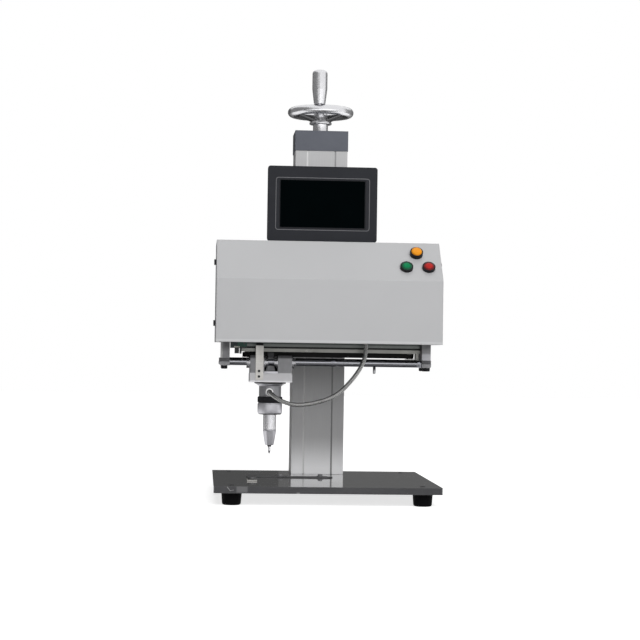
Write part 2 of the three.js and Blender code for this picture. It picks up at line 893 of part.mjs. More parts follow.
function addInlet() {
  const flange = span(
    -inletFlangeWidth / 2, inletFlangeWidth / 2,
    0, inletFlangeThick,
    -inletFlangeHeight / 2, inletFlangeHeight / 2,
  );
  const halfWidth = inletWidth / 2;
  const halfHeight = inletHeight / 2;
  const body = span(-halfWidth, halfWidth, -inletDepth, overrun, -halfHeight, halfHeight);
  const [x, z] = [inletWidth / 2 - inletWall, inletHeight / 2 - inletWall];
  const mouth = span(-x, x, inletFlangeThick - inletRecess, inletFlangeThick + overrun, -z, z);
  add(head, "power_inlet", cut(join(flange, body), mouth), blackPlastic, inletX, coverBackY + seat, inletZ);
}

// The cover's side outline, drawn in by a wall.
function coverOutline(wall, bottom) {
  const [alongY, alongZ] = [facetRun / facetLength, facetRise / facetLength];
  const kneeY = coverFrontY + wall * alongZ;
  const kneeZ = facetBottom - wall * alongY;
  const toFront = (coverFrontY + wall - kneeY) / alongY;
  const toTop = (coverTop - wall - kneeZ) / alongZ;
  return [
    [coverFrontY + wall, bottom],
    [coverFrontY + wall, kneeZ + toFront * alongZ],
    [kneeY + toTop * alongY, coverTop - wall],
    [coverBackY - wall, coverTop - wall],
    [coverBackY - wall, bottom],
  ];
}

function addCover() {
  const outside = drawnAlongX(coverOutline(0, coverBottom), coverWidth);
  const inside = drawnAlongX(coverOutline(coverWall, coverBottom + coverWall), coverWidth - 2 * coverWall);
  const half = coverWidth / 2 - coverLip;
  const mouth = span(
    -half, half,
    coverFrontY + coverLip, coverBackY - coverWall,
    coverBottom - overrun, coverBottom + coverWall + overrun,
  );
  const side = plateWidth / 2 + cutoutGap;
  const cutoutTop = plateBottom + plateHeight + cutoutGap;
  const back = [coverBackY - coverWall - overrun, coverBackY + overrun];
  const cutout = span(-side, side, ...back, coverBottom - overrun, cutoutTop);
  const inletHole = span(
    inletX - inletWidth / 2 - seat, inletX + inletWidth / 2 + seat,
    ...back,
    inletZ - inletHeight / 2 - seat, inletZ + inletHeight / 2 + seat,
  );
  const tools = [inside, mouth, cutout, inletHole];
  for (let i = 0; i < ventCount; i++) {
    const z = ventZ + i * ventPitch;
    tools.push(span(ventX - ventWidth / 2, ventX + ventWidth / 2, ...back, z, z + ventHeight));
  }
  for (const [x, rise] of buttonPlaces) {
    const hole = bar(barrelRadius + barrelGap, 4 * coverWall, smallSides).translate(0, 0, -2 * coverWall);
    hole.applyMatrix4(facetMatrix(x, rise));
    tools.push(hole);
  }
  const cable = bar(cableHoleRadius, coverWall + 2 * overrun);
  cable.translate(hmiX, neckMidY, coverTop - coverWall - overrun);
  add(head, "head_cover", cut(outside, ...tools, cable), coverPaint);
}

const neckMidY = hmiFrontY + hmiBezelThick + hmiRearDepth / 2;

function addScreen() {
  const upright = new THREE.Matrix4().makeRotationX(Math.PI / 2);
  const bezel = extruded(roundedRectangle(hmiWidth, hmiHeight, hmiCorner), hmiBezelThick);
  bezel.applyMatrix4(upright).translate(0, hmiBezelThick, 0);
  const [x, z] = [hmiRearWidth / 2, hmiRearHeight / 2];
  const backY = hmiBezelThick + hmiRearDepth;
  const rear = span(-x, x, hmiBezelThick - overrun, backY, -z, z);
  const hollow = span(hmiWall - x, x - hmiWall, hmiBezelThick, backY - hmiWall, hmiWall - z, z - hmiWall);
  const stem = neckMidY - hmiFrontY;
  const foot = coverTop + seat - hmiMidZ;
  const neckY = [stem - neckDepth / 2, stem + neckDepth / 2];
  const neck = span(-neckWidth / 2, neckWidth / 2, ...neckY, foot, overrun - z);
  const channel = bar(cableHoleRadius, -foot).translate(0, stem, foot - overrun);
  const window = span(
    -displayWidth / 2, displayWidth / 2,
    -overrun, displaySink,
    -displayHeight / 2, displayHeight / 2,
  );
  const body = cut(join(bezel, rear, neck), hollow, channel, window);
  add(head, "hmi_case", body, charcoal, hmiX, hmiFrontY, hmiMidZ);
  const glass = new THREE.BoxGeometry(displayWidth - 2 * seat, displayThick, displayHeight - 2 * seat);
  const glassY = hmiFrontY + displaySink - seat - displayThick / 2;
  add(head, "hmi_display", glass, screenGlass, hmiX, glassY, hmiMidZ);
}

// Each button's place on the facet: X, and how far up the slope from the lower bend.
const buttonPlaces = [
  [buttonX, upperButtonRise],
  [buttonX - buttonPitch / 2, lowerButtonRise],
  [buttonX + buttonPitch / 2, lowerButtonRise],
];

function facetMatrix(x, rise) {
  const y = coverFrontY + (rise * facetRun) / facetLength;
  const z = facetBottom + (rise * facetRise) / facetLength;
  return new THREE.Matrix4().makeTranslation(x, y, z).multiply(new THREE.Matrix4().makeRotationX(facetTilt));
}

function addButton(place, word, height, finish) {
  const group = new THREE.Group();
  group.applyMatrix4(facetMatrix(...place));
  head.add(group);
  const well = collarRadius - collarRim;
  const bore = stemRadius + slip;
  const collar = turned([
    [bore, -barrelLength],
    [barrelRadius, -barrelLength],
    [barrelRadius, seat],
    [collarRadius, seat],
    [collarRadius, height],
    [well, height],
    [well, collarFloor],
    [bore, collarFloor],
    [bore, -barrelLength],
  ]);
  add(group, `button_collar_${word}`, collar, blackPlastic);
  const capRadius = well - capClearance;
  const capBottomZ = collarFloor + buttonTravel + slip;
  const capTopZ = Math.max(height, capBottomZ) + capProud;
  const cap = turned([
    [0, collarFloor - stemLength],
    [stemRadius, collarFloor - stemLength],
    [stemRadius, capBottomZ],
    [capRadius, capBottomZ],
    [capRadius, capTopZ - capCrownRise],
    [capRadius * capCrownShare, capTopZ],
    [0, capTopZ],
  ]);
  add(group, `button_cap_${word}`, cap, finish);
}

// Gantry: it hangs from the Y rods and carries the X rods, beam and belt
const gantry = new THREE.Group();
gantry.position.set(0, gantryY, 0);
machine.add(gantry);

const frontRodY = -xRodSpacing / 2;
const rearRodY = xRodSpacing / 2;

function bracketShape(sign) {
  const [near, far] = [sign * bracketInner, sign * bracketOuter].sort((a, b) => a - b);
  const depth = gantryDepth / 2;
  const stem = span(near, far, -depth, depth, bracketBottom, bearingBlockBottom + overrun);
  const mid = sign * yRodX;
  const half = bearingBlockWidth / 2;
  const blockTop = bearingBlockBottom + bearingBlockHeight;
  const blockPart = span(mid - half, mid + half, -depth, depth, bearingBlockBottom, blockTop);
  const bore = barAlongY(yRodRadius + slip, gantryDepth + 2 * overrun);
  bore.translate(mid, -depth - overrun, yRodZ);
  const holes = [frontRodY, rearRodY].map((y) =>
    barAlongX(xRodRadius + seat, bracketThick + 2 * overrun).translate(near - overrun, y, xRodZ),
  );
  return [join(stem, blockPart), [bore, ...holes]];
}

function addBrackets() {
  const [left, leftTools] = bracketShape(-1);
  const shelf = span(-bracketInner - overrun, -shelfEnd, -shelfFront, shelfBack, shelfBottom, shelfTop);
  const mouth = bar(motorBossRadius + seat, shelfThick + 2 * overrun);
  mouth.translate(driveX, 0, shelfBottom - overrun);
  add(gantry, "gantry_bracket_left", cut(join(left, shelf), mouth, ...leftTools), castGrey);
  const [right, rightTools] = bracketShape(1);
  add(gantry, "gantry_bracket_right", cut(right, ...rightTools), castGrey);
}

function addRods() {
  const half = bracketOuter - xRodRecess;
  const hole = bar(pinShank + seat, xRodRadius, smallSides);
  hole.translate(pinX + half, 0, pinSink - 2 * xRodRadius);
  const front = cut(barAlongX(xRodRadius, 2 * half, smallSides), hole);
  add(gantry, "x_rod_front", front, chrome, -half, frontRodY, xRodZ);
  const rear = barAlongX(xRodRadius, 2 * half, smallSides);
  add(gantry, "x_rod_rear", rear, chrome, -half, rearRodY, xRodZ);
  const top = -seat;
  const pin = turned(
    [
      [0, -pinDrop],
      [pinRadius - pinRound, -pinDrop],
      [pinRadius, pinRound - pinDrop],
      [pinRadius, top],
      [pinShank, top],
      [pinShank, pinSink - slip],
      [0, pinSink - slip],
    ],
    smallSides,
  );
  add(gantry, "stop_pin", pin, darkSteel, pinX, frontRodY, xRodZ - xRodRadius);
}

function addBeam() {
  const half = beamSize / 2;
  const right = bracketInner - seat;
  const profile = span(-beamLeft, right, -half, half, beamBottom, beamTop);
  const groove = span(
    -beamLeft - overrun, right + overrun,
    -half - overrun, grooveDepth - half,
    beamBottom + grooveBottom, beamBottom + grooveBottom + grooveHeight,
  );
  const shaftHole = bar(shaftRadius + overrun, beamSize + 2 * overrun, smallSides);
  shaftHole.translate(driveX, 0, beamBottom - overrun);
  const nutHalf = nutBlockWidth / 2;
  const nutBlock = span(
    yScrewX - nutHalf, yScrewX + nutHalf,
    -nutBlockDepth / 2, nutBlockDepth / 2,
    beamTop - overrun, yScrewZ + nutBlockWall,
  );
  const nutBore = barAlongY(yScrewRadius + slip, beamSize + 2 * overrun);
  nutBore.translate(yScrewX, -half - overrun, yScrewZ);
  const armX = [hoseTop[0] - hoseArmWidth / 2, hoseTop[0] + hoseArmWidth / 2];
  const armBottom = beamTop + hoseArmRise;
  const arm = span(...armX, -hoseArmReach, half, armBottom, armBottom + hoseArmThick);
  const armFoot = span(...armX, -half, half, beamTop - overrun, armBottom + overrun);
  const armBore = bar(hoseArmBore, hoseArmThick + 2 * overrun, smallSides);
  armBore.translate(hoseTop[0], hoseTop[1] - gantryY, armBottom - overrun);
  const tabX = idlerX + idlerTabGap;
  const tabHalf = idlerTabDepth / 2;
  const tabZ = [beamBottom - idlerTabDrop, beamBottom + overrun];
  const tab = span(tabX, tabX + idlerTabThick, -tabHalf, tabHalf, ...tabZ);
  const axleBottom = pulleyBottom + slip;
  const axle = bar(shaftRadius, beamBottom + overrun - axleBottom, smallSides);
  axle.translate(idlerX, 0, axleBottom);
  const body = cut(join(profile, nutBlock, arm, armFoot, tab), groove, shaftHole, nutBore, armBore);
  add(gantry, "x_beam", join(body, axle), anodised);
}

function pulleyProfile(bore, bottom, top) {
  const flangeTop = bottom + pulleyFlangeThick;
  return [
    [bore, bottom],
    [pulleyFlangeRadius, bottom],
    [pulleyFlangeRadius, flangeTop],
    [pulleyRadius, flangeTop],
    [pulleyRadius, top],
  ];
}

function addXDrive() {
  const motor = motorShape(shaftRadius + slip);
  add(gantry, "x_motor", motor, blackPlastic, driveX, 0, shelfTop + seat);
  const shaftTop = shelfTop + seat + shaftGrip;
  const shaft = [
    [shaftRadius, pulleyTop],
    [shaftRadius, shaftTop],
    [0, shaftTop],
  ];
  const drive = turned([...pulleyProfile(0, pulleyBottom, pulleyTop), ...shaft], smallSides);
  add(gantry, "x_drive_pulley", drive, satin, driveX, 0, 0);
  const bore = shaftRadius + slip;
  const boreWall = [
    [bore, pulleyTop],
    [bore, pulleyBottom],
  ];
  const idler = turned([...pulleyProfile(bore, pulleyBottom, pulleyTop), ...boreWall], smallSides);
  add(gantry, "x_idler_pulley", idler, satin, idlerX, 0, 0);

  const reach = (idlerX - driveX) / 2;
  const loop = stadium(reach, beltInner + beltThick);
  loop.holes.push(stadium(reach, beltInner, THREE.Path));
  add(gantry, "x_belt", extruded(loop, beltHeight, beltSteps), rubber, (idlerX + driveX) / 2, 0, beltBottom);
}

function addSensor() {
  const back = -shelfFront - seat;
  const front = back - boardThick;
  const board = span(
    sensorX - sensorWidth / 2, sensorX + sensorWidth / 2,
    front, back,
    sensorBottom, sensorBottom + sensorHeight,
  );
  const plugHalf = sensorPlugWidth / 2;
  const plug = span(
    sensorPlugX - plugHalf, sensorPlugX + plugHalf,
    front, front + sensorPlugDepth,
    sensorBottom - sensorPlugDrop, sensorBottom + overrun,
  );
  const forkHalf = sensorForkWidth / 2;
  const fork = span(
    sensorForkX - forkHalf, sensorForkX + forkHalf,
    front, front + sensorForkDepth,
    sensorBottom - sensorForkDrop, sensorBottom + sensorForkRise,
  );
  add(gantry, "sensor_board", join(board, plug, fork), boardGreen);
}

// Carriage: it rides on the X rods and holds the stylus
const carriage = new THREE.Group();
carriage.position.set(carriageX, gantryY, 0);
machine.add(carriage);

function addCarriage() {
  const half = carriageWidth / 2;
  const depth = gantryDepth / 2;
  const parts = [span(-half, half, -depth, depth, carriageBottom, carriageTop)];
  for (const [x0, x1] of [[-earOuter, -earInner], [earInner, earOuter]]) {
    for (const [y0, y1] of [[-depth, earDepth - depth], [depth - earDepth, depth]]) {
      parts.push(span(x0, x1, y0, y1, carriageTop - overrun, earTop));
    }
  }
  const clampTop = beltBottom + beltHeight;
  const x = towerWidth / 2;
  parts.push(span(-x, x, -towerFront, towerBack, carriageTop - overrun, clampTop));
  const belt = [-beltInner - beltThick - slip, slip - beltInner];
  const tools = [span(-x - overrun, x + overrun, ...belt, beltBottom - slip, clampTop + overrun)];
  for (const y of [frontRodY, rearRodY]) {
    const bore = barAlongX(bearingRadius + seat, carriageWidth + 2 * overrun);
    tools.push(bore.translate(-half - overrun, y, xRodZ));
  }
  add(carriage, "carriage_block", cut(join(...parts), ...tools), castGrey);

  const flagY = -depth - flagGap - flagThick / 2;
  const flag = block(flagWidth, flagThick, flagTop - flagBottom);
  add(carriage, "sensor_flag", flag, machined, flagX, flagY, flagBottom);
}

// A linear bearing along X about its own middle, with a nose and a flange at both ends.
function bearingShape(length) {
  const end = length / 2;
  const shoulder = end - bearingNose;
  const bore = xRodRadius + bearingBoreGap;
  const profile = turned([
    [bore, -end],
    [bearingNoseRadius, -end],
    [bearingNoseRadius, -shoulder],
    [bearingRadius, -shoulder],
    [bearingRadius, shoulder],
    [bearingNoseRadius, shoulder],
    [bearingNoseRadius, end],
    [bore, end],
    [bore, -end],
  ]);
  return profile.rotateY(Math.PI / 2);
}

function addBearings() {
  const length = earOuter - earInner + 2 * bearingFlange + 2 * bearingNose;
  const mid = (earInner + earOuter) / 2;
  add(carriage, "bearing_front_left", bearingShape(length), satin, -mid, frontRodY, xRodZ);
  add(carriage, "bearing_front_right", bearingShape(length), satin, mid, frontRodY, xRodZ);
  add(carriage, "bearing_rear", bearingShape(longBearingLength), satin, 0, rearRodY, xRodZ);
}

function addStylusBody() {
  const flangeBottom = housingTop - stylusFlangeThick;
  const coneBottom = flangeBottom - stylusConeHeight;
  const neckBottom = housingBottom - housingNeckHeight;
  const roof = housingTop - housingRoof;
  const neckBore = tubeRadius + slip;
  const housing = turned([
    [0, roof],
    [housingCavity, roof],
    [housingCavity, housingBottom],
    [neckBore, housingBottom],
    [neckBore, neckBottom],
    [housingNeckRadius, neckBottom],
    [housingNeckRadius, housingBottom],
    [housingRadius, housingBottom],
    [housingRadius, coneBottom],
    [stylusConeRadius, flangeBottom],
    [stylusFlangeRadius, flangeBottom],
    [stylusFlangeRadius, housingTop],
    [0, housingTop],
  ], ringSides);
  const boss = barAlongY(bossRadius, bossReach).translate(bossShift, -bossReach, bossZ);
  const hollow = bar(housingCavity + overrun, roof - housingBottom + seat).translate(0, 0, housingBottom);
  const passage = barAlongY(glandBore, bossReach + overrun, smallSides);
  passage.translate(bossShift, -bossReach - overrun, bossZ);
  add(carriage, "solenoid_housing", join(housing, cut(boss, hollow, passage)), castGrey);

  const coilTop = roof - seat;
  const coilOuter = housingCavity - slip;
  const coil = turned([
    [coilBoreRadius, coilTop - coilHeight],
    [coilOuter, coilTop - coilHeight],
    [coilOuter, coilTop],
    [coilBoreRadius, coilTop],
    [coilBoreRadius, coilTop - coilHeight],
  ]);
  add(carriage, "solenoid_coil", coil, bronze);

  const gland = turned(
    [
      [glandBore, 0],
      [glandRadius, 0],
      [glandRadius, glandLength],
      [glandBore, glandLength],
      [glandBore, 0],
    ],
    smallSides,
  );
  gland.rotateX(Math.PI / 2);
  add(carriage, "cable_gland", gland, whitePlastic, bossShift, -bossReach - seat, bossZ);
}

function addRings() {
  const bore = housingNeckRadius + slip;
  const lock = turned([
    [bore, 0],
    ...quarter(ringRadius - ringRound, ringRound, ringRound, -Math.PI / 2, 2),
    ...quarter(ringRadius - ringRound, lockRingHeight - ringRound, ringRound, 0, 2),
    [bore, lockRingHeight],
    [bore, 0],
  ], ringSides);
  add(carriage, "lock_ring", lock, blackPlastic, 0, 0, housingBottom - seat - lockRingHeight);
  const lip = tubeRadius + slip;
  const stroke = turned([
    [lip, -strokeRingHeight],
    ...quarter(ringRadius - ringRound, ringRound - strokeRingHeight, ringRound, -Math.PI / 2, 2),
    ...quarter(ringRadius - ringRound, -ringRound, ringRound, 0, 2),
    [bore, 0],
    [bore, strokeRingFloor - strokeRingHeight],
    [lip, strokeRingFloor - strokeRingHeight],
    [lip, -strokeRingHeight],
  ], ringSides);
  add(carriage, "stroke_ring", stroke, machined, 0, 0, strokeRingTop);
}

function addStylusTip() {
  const tube = turned([
    [tubeBoreRadius, tubeBottom],
    [tubeRadius, tubeBottom],
    [tubeRadius, tubeTop],
    [tubeBoreRadius, tubeTop],
    [tubeBoreRadius, tubeBottom],
  ]);
  add(carriage, "guide_tube", tube, machined);
  const bore = needleRadius + slip;
  const noseBottom = noseTop - noseHeight;
  const spigotTop = noseTop + noseSpigotHeight;
  const nose = turned([
    [bore, noseBottom],
    [noseTipRadius, noseBottom],
    [tubeRadius, noseTop],
    [noseSpigotRadius, noseTop],
    [noseSpigotRadius, spigotTop],
    [bore, spigotTop],
    [bore, noseBottom],
  ]);
  add(carriage, "nose_cone", nose, satin);
  const needleBottom = plungerBottom - needleLength;
  const needle = turned(
    [
      [0, needleBottom],
      [needleTipRadius, needleBottom],
      [needleRadius, needleBottom + needlePoint],
      [needleRadius, plungerBottom],
      [plungerRadius, plungerBottom],
      [plungerRadius, plungerTop],
      [0, plungerTop],
    ],
    smallSides,
  );
  add(carriage, "needle", needle, satin);
  const springBottom = spigotTop + seat;
  const springTop = plungerBottom - seat;
  const spring = turned(
    [
      [springInnerRadius, springBottom],
      [springInnerRadius + springWall, springBottom],
      [springInnerRadius + springWall, springTop],
      [springInnerRadius, springTop],
      [springInnerRadius, springBottom],
    ],
    smallSides,
  );
  add(carriage, "return_spring", spring, satin);
}

// A ribbed tube with a bore: two rings a rib outside, and one ring every few ribs inside.
function hoseShape() {
  const points = hoseRoute.map((point) => new THREE.Vector3(...point));
  const curve = new THREE.CatmullRomCurve3(points, false, "centripetal");
  const rings = hoseRibs * hoseRingShare;
  const frames = curve.computeFrenetFrames(rings, false);
  const places = [];
  const faces = [];
  const addRing = (i, radius) => {
    const middle = curve.getPointAt(i / rings);
    const first = places.length;
    for (let k = 0; k < hoseSides; k++) {
      const angle = (2 * Math.PI * k) / hoseSides;
      const place = middle.clone();
      place.addScaledVector(frames.normals[i], radius * Math.cos(angle));
      place.addScaledVector(frames.binormals[i], radius * Math.sin(angle));
      places.push(place);
    }
    return first;
  };
  const bridge = (a, b) => {
    for (let k = 0; k < hoseSides; k++) {
      const next = (k + 1) % hoseSides;
      faces.push(a + k, a + next, b + next, a + k, b + next, b + k);
    }
  };
  const outer = [];
  for (let i = 0; i <= rings; i++) outer.push(addRing(i, i % hoseRingShare ? hoseRadius : hoseValleyRadius));
  const inner = [];
  const step = hoseRingShare * boreRibShare;
  for (let i = 0; i < rings; i += step) inner.push(addRing(i, hoseBore));
  inner.push(addRing(rings, hoseBore));
  for (let i = 1; i < outer.length; i++) bridge(outer[i - 1], outer[i]);
  for (let i = 1; i < inner.length; i++) bridge(inner[i], inner[i - 1]);
  bridge(inner[0], outer[0]);
  bridge(outer[outer.length - 1], inner[inner.length - 1]);
  const geometry = new THREE.BufferGeometry().setFromPoints(places);
  geometry.setIndex(faces);
  return geometry;
}

function addHose() {
  add(machine, "stylus_hose", toGeometry(toSolid(hoseShape())), conduit);
}

addBase();
addStops();
addColumn();
addLeadScrew();
addHandwheel();
addLift();
addFrame();
addYDrive();
addBoard();
addInlet();
addCover();
addScreen();
addButton(buttonPlaces[0], "top", highCollarHeight, amber);
addButton(buttonPlaces[1], "left", lowCollarHeight, green);
addButton(buttonPlaces[2], "right", lowCollarHeight, red);
addBrackets();
addRods();
addBeam();
addXDrive();
addSensor();
addCarriage();
addBearings();
addStylusBody();
addRings();
addStylusTip();
addHose();

export default machine;
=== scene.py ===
# %% [markdown]
# # A bench marking machine, dressed for a studio picture
#
# The machine is a square base with a column at its back. A head hangs on the
# column and carries a touch screen, three buttons and, underneath, a stylus
# that runs on two rods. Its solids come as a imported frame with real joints.
# This script gives each of them its finish and adds the small things that
# only show: screws, knurls, the armoured hose, lenses and seals.

import json
from math import cos, pi, radians, sin, sqrt

import bmesh
import bpy
from mathutils import Matrix, Vector


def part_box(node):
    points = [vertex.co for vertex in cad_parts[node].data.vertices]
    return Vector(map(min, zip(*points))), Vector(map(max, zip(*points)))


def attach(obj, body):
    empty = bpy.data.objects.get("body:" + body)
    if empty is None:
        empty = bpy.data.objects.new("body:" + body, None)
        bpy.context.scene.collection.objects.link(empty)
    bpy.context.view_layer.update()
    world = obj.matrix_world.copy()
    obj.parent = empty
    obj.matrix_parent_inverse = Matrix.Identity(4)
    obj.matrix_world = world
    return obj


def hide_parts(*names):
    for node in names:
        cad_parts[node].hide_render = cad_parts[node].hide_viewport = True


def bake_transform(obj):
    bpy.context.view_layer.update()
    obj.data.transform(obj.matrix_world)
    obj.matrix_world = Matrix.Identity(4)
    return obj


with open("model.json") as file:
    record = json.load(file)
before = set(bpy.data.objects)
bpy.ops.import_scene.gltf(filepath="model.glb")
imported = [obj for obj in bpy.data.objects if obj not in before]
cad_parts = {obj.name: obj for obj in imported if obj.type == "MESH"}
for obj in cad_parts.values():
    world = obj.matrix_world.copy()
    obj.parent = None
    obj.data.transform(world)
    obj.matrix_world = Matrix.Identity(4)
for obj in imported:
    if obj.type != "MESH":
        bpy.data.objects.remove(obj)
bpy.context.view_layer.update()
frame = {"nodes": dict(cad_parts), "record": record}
nodes = frame["nodes"]
mm = 0.001


def edges_of(node):
    """The low and the high corner of a solid in mm, to a hundredth."""
    return [[round(c / mm, 2) for c in corner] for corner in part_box(node)]


def middle_of(node):
    """The middle of a solid in mm, to a hundredth."""
    low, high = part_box(node)
    return [round((a + b) / 2 / mm, 2) for a, b in zip(low, high)]


# %% [markdown]
# ## Camera
#
# The picture was taken from the front with a long lens, a little left of the
# middle and at the height of the stylus. A camera can be aimed with a Track To
# constraint, but here its three axes are worked out from yaw, pitch and roll,
# because the picture leans by less than a degree and that lean is wanted.

# %% Camera
camera_place = Vector((-0.2218, -3.1544, 0.2707))
yaw, pitch, roll = 0.0685, 0.0181, 0.0147
level_right = Vector((cos(yaw), -sin(yaw), 0))
forward = Vector((sin(yaw) * cos(pitch), cos(yaw) * cos(pitch), sin(pitch)))
level_up = level_right.cross(forward)
right = level_right * cos(roll) + level_up * sin(roll)
up = level_up * cos(roll) - level_right * sin(roll)

camera_data = bpy.data.cameras.new("camera")
camera_data.lens = 95.6
camera = bpy.data.objects.new("camera", camera_data)
camera.matrix_world = Matrix.LocRotScale(
    camera_place, Matrix((right, up, -forward)).transposed(), None
)
bpy.context.scene.collection.objects.link(camera)
bpy.context.scene.camera = camera
print("camera looks along", tuple(round(x, 3) for x in forward))

# %% [markdown]
# ## Meshes from rings
#
# Most small metal parts are turned, knurled or bent from tube. All of these
# can be built in one way: a list of rings of points, each ring joined to the
# next by a band of faces. Blender's Screw modifier makes only round parts,
# and this way also gives hex sockets, knurls and a hose along a curve.


# %% Mesh helpers
def new_piece(name, points, faces, sharp=35):
    """A mesh object with smooth faces, and sharp edges above an angle."""
    mesh = bpy.data.meshes.new(name)
    mesh.from_pydata([tuple(p) for p in points], [], faces)
    work = bmesh.new()
    work.from_mesh(mesh)
    bmesh.ops.recalc_face_normals(work, faces=work.faces)
    work.to_mesh(mesh)
    work.free()
    mesh.shade_smooth()
    mesh.set_sharp_from_angle(angle=radians(sharp))
    piece = bpy.data.objects.new(name, mesh)
    bpy.context.scene.collection.objects.link(piece)
    return piece


def skin(name, rings, closed=False, sharp=35):
    """A surface over rings of points. It has end faces unless it is closed on itself."""
    count = len(rings[0])
    points = [p for ring in rings for p in ring]
    faces = []
    for i in range(len(rings) - (0 if closed else 1)):
        a, b = i * count, (i + 1) % len(rings) * count
        for j in range(count):
            k = (j + 1) % count
            faces.append((a + j, a + k, b + k, b + j))
    if not closed:
        faces.append(tuple(range(count)))
        faces.append(tuple(range(len(points) - count, len(points))))
    return new_piece(name, points, faces, sharp)


# %% [markdown]
# ## The armoured hose
#
# A steel strip is wound into a hose that guards the cable of the stylus. It
# leaves the gland on the housing straight ahead, dips, and rises to the arm on
# the gantry's beam. A Bezier curve with a bevel would be quick, but would be
# smooth. Here the strip's crest runs round the tube as a screw thread does, so
# the radius of a point depends on its distance along the hose and its angle.

# %% Hose route
hose_points = [
    (-101.2, -97.5, 195),
    (-101.2, -104.5, 195),
    (-100.6, -111.7, 194.4),
    (-99, -118.9, 192.7),
    (-94.5, -128.1, 188.9),
    (-87.6, -135.2, 184.2),
    (-78.7, -139.8, 179.7),
    (-68.3, -141.6, 176.2),
    (-57.4, -141, 174.3),
    (-46.7, -138.6, 174.2),
    (-36.1, -136.2, 175.4),
    (-25.4, -134.9, 177.2),
    (-14.8, -134.5, 179.8),
    (-4.3, -134.2, 182.9),
    (5.8, -133.5, 186.9),
    (15.4, -132.5, 192),
    (24.2, -131.3, 198.4),
    (32.1, -129.9, 205.7),
    (39.5, -128.3, 213.6),
    (46.6, -126.4, 221.8),
    (53.1, -124.2, 230.3),
    (59, -121.8, 239.1),
    (64, -119.2, 248.5),
    (67.7, -116.7, 258.5),
    (69.7, -114.7, 269),
    (70.6, -113.3, 279.8),
    (70.8, -113, 290.7),
]
hose_route = [Vector(p) * mm for p in hose_points]


def smooth_line(points, steps):
    """Centripetal Catmull-Rom through the points, with steps parts to each span."""
    ends = [2 * points[0] - points[1]], [2 * points[-1] - points[-2]]
    p = ends[0] + list(points) + ends[1]
    line = []
    for i in range(1, len(p) - 2):
        a, b, c, d = p[i - 1 : i + 3]
        t0 = 0.0
        t1 = t0 + sqrt((b - a).length)
        t2 = t1 + sqrt((c - b).length)
        t3 = t2 + sqrt((d - c).length)
        for k in range(steps):
            t = t1 + (t2 - t1) * k / steps
            a1 = a.lerp(b, (t - t0) / (t1 - t0))
            a2 = b.lerp(c, (t - t1) / (t2 - t1))
            a3 = c.lerp(d, (t - t2) / (t3 - t2))
            b1 = a1.lerp(a2, (t - t0) / (t2 - t0))
            b2 = a2.lerp(a3, (t - t1) / (t3 - t1))
            line.append(b1.lerp(b2, (t - t1) / (t2 - t1)))
    return line + [points[-1].copy()]


# %% Hose mesh
hose_crest = 3.9 * mm
hose_valley = 3.35 * mm
hose_pitch = 2.97 * mm
hose_sides = 20
rings_per_pitch = 7
groove_steepness, groove_floor = 5.2, 0.35


def evenly(line, step):
    """Points on a line at equal distances of about one step."""
    along = [0.0]
    for a, b in zip(line, line[1:]):
        along.append(along[-1] + (b - a).length)
    count = max(2, round(along[-1] / step))
    even, i = [], 0
    for k in range(count + 1):
        target = along[-1] * k / count
        while i < len(line) - 2 and along[i + 1] < target:
            i += 1
        share = (target - along[i]) / (along[i + 1] - along[i])
        even.append(line[i].lerp(line[i + 1], share))
    return even, along[-1]


def tube_rings(line, radius_at, sides):
    """Rings round a line that don't twist. radius_at takes distance and angle."""
    side = Vector((1, 0, 0))
    rings, far = [], 0.0
    for i, place in enumerate(line):
        ahead = (line[min(i + 1, len(line) - 1)] - line[max(i - 1, 0)]).normalized()
        side = (side - ahead * side.dot(ahead)).normalized()
        other = ahead.cross(side)
        if i:
            far += (place - line[i - 1]).length
        ring = []
        for j in range(sides):
            angle = 2 * pi * j / sides
            out = side * cos(angle) + other * sin(angle)
            ring.append(place + out * radius_at(far, angle))
        rings.append(ring)
    return rings


def strip_radius(far, angle):
    """The wound strip: a broad flat crest and a narrow groove beside it."""
    turn = (far / hose_pitch + angle / (2 * pi)) % 1
    crest = min(1, max(0, groove_steepness * abs(turn - 0.5) - groove_floor))
    return hose_valley + (hose_crest - hose_valley) * crest


steps_between_points = 12
hose_line, hose_length = evenly(
    smooth_line(hose_route, steps_between_points), hose_pitch / rings_per_pitch
)
hose = skin("stylus_hose_armour", tube_rings(hose_line, strip_radius, hose_sides), sharp=60)
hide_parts("stylus_hose")
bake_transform(hose)
print("hose", round(hose_length, 4), "m in", len(hose_line), "rings")

# %% [markdown]
# ## Finishes from nodes
#
# A single colour looks like a drawing. A real finish has three scales: slow
# shifts of tone, fine grain that breaks up the gloss, and edges where the coat
# is thin or the metal is burnished. Painted maps could hold these, but they
# need an unwrap and a picture file. Noise in object space needs neither, and
# stays on the part when a joint moves it. One recipe serves all finishes, and
# each gets its own numbers.


# %% Node helpers
def sprout(tree, kind, links=(), **settings):
    """A new node with its settings, and its inputs set to values or linked to sockets."""
    node = tree.nodes.new(kind)
    for key, value in settings.items():
        setattr(node, key, value)
    for socket, value in dict(links).items():
        if isinstance(value, bpy.types.NodeSocket):
            tree.links.new(value, node.inputs[socket])
        else:
            node.inputs[socket].default_value = value
    return node


def noise(tree, scale, stretch=(1, 1, 1), detail=3.0):
    """Noise in object space, stretched along an axis by a small number for it."""
    place = sprout(tree, "ShaderNodeTexCoord").outputs["Object"]
    mapped = sprout(tree, "ShaderNodeMapping", {"Vector": place, "Scale": stretch})
    return sprout(
        tree,
        "ShaderNodeTexNoise",
        {"Vector": mapped.outputs[0], "Scale": scale, "Detail": detail},
    ).outputs[0]


def ramp(tree, value, low, high, to_low=0.0, to_high=1.0):
    """The value between low and high, stretched to a new range and clamped."""
    return sprout(
        tree,
        "ShaderNodeMapRange",
        {0: value, 1: low, 2: high, 3: to_low, 4: to_high},
    ).outputs[0]


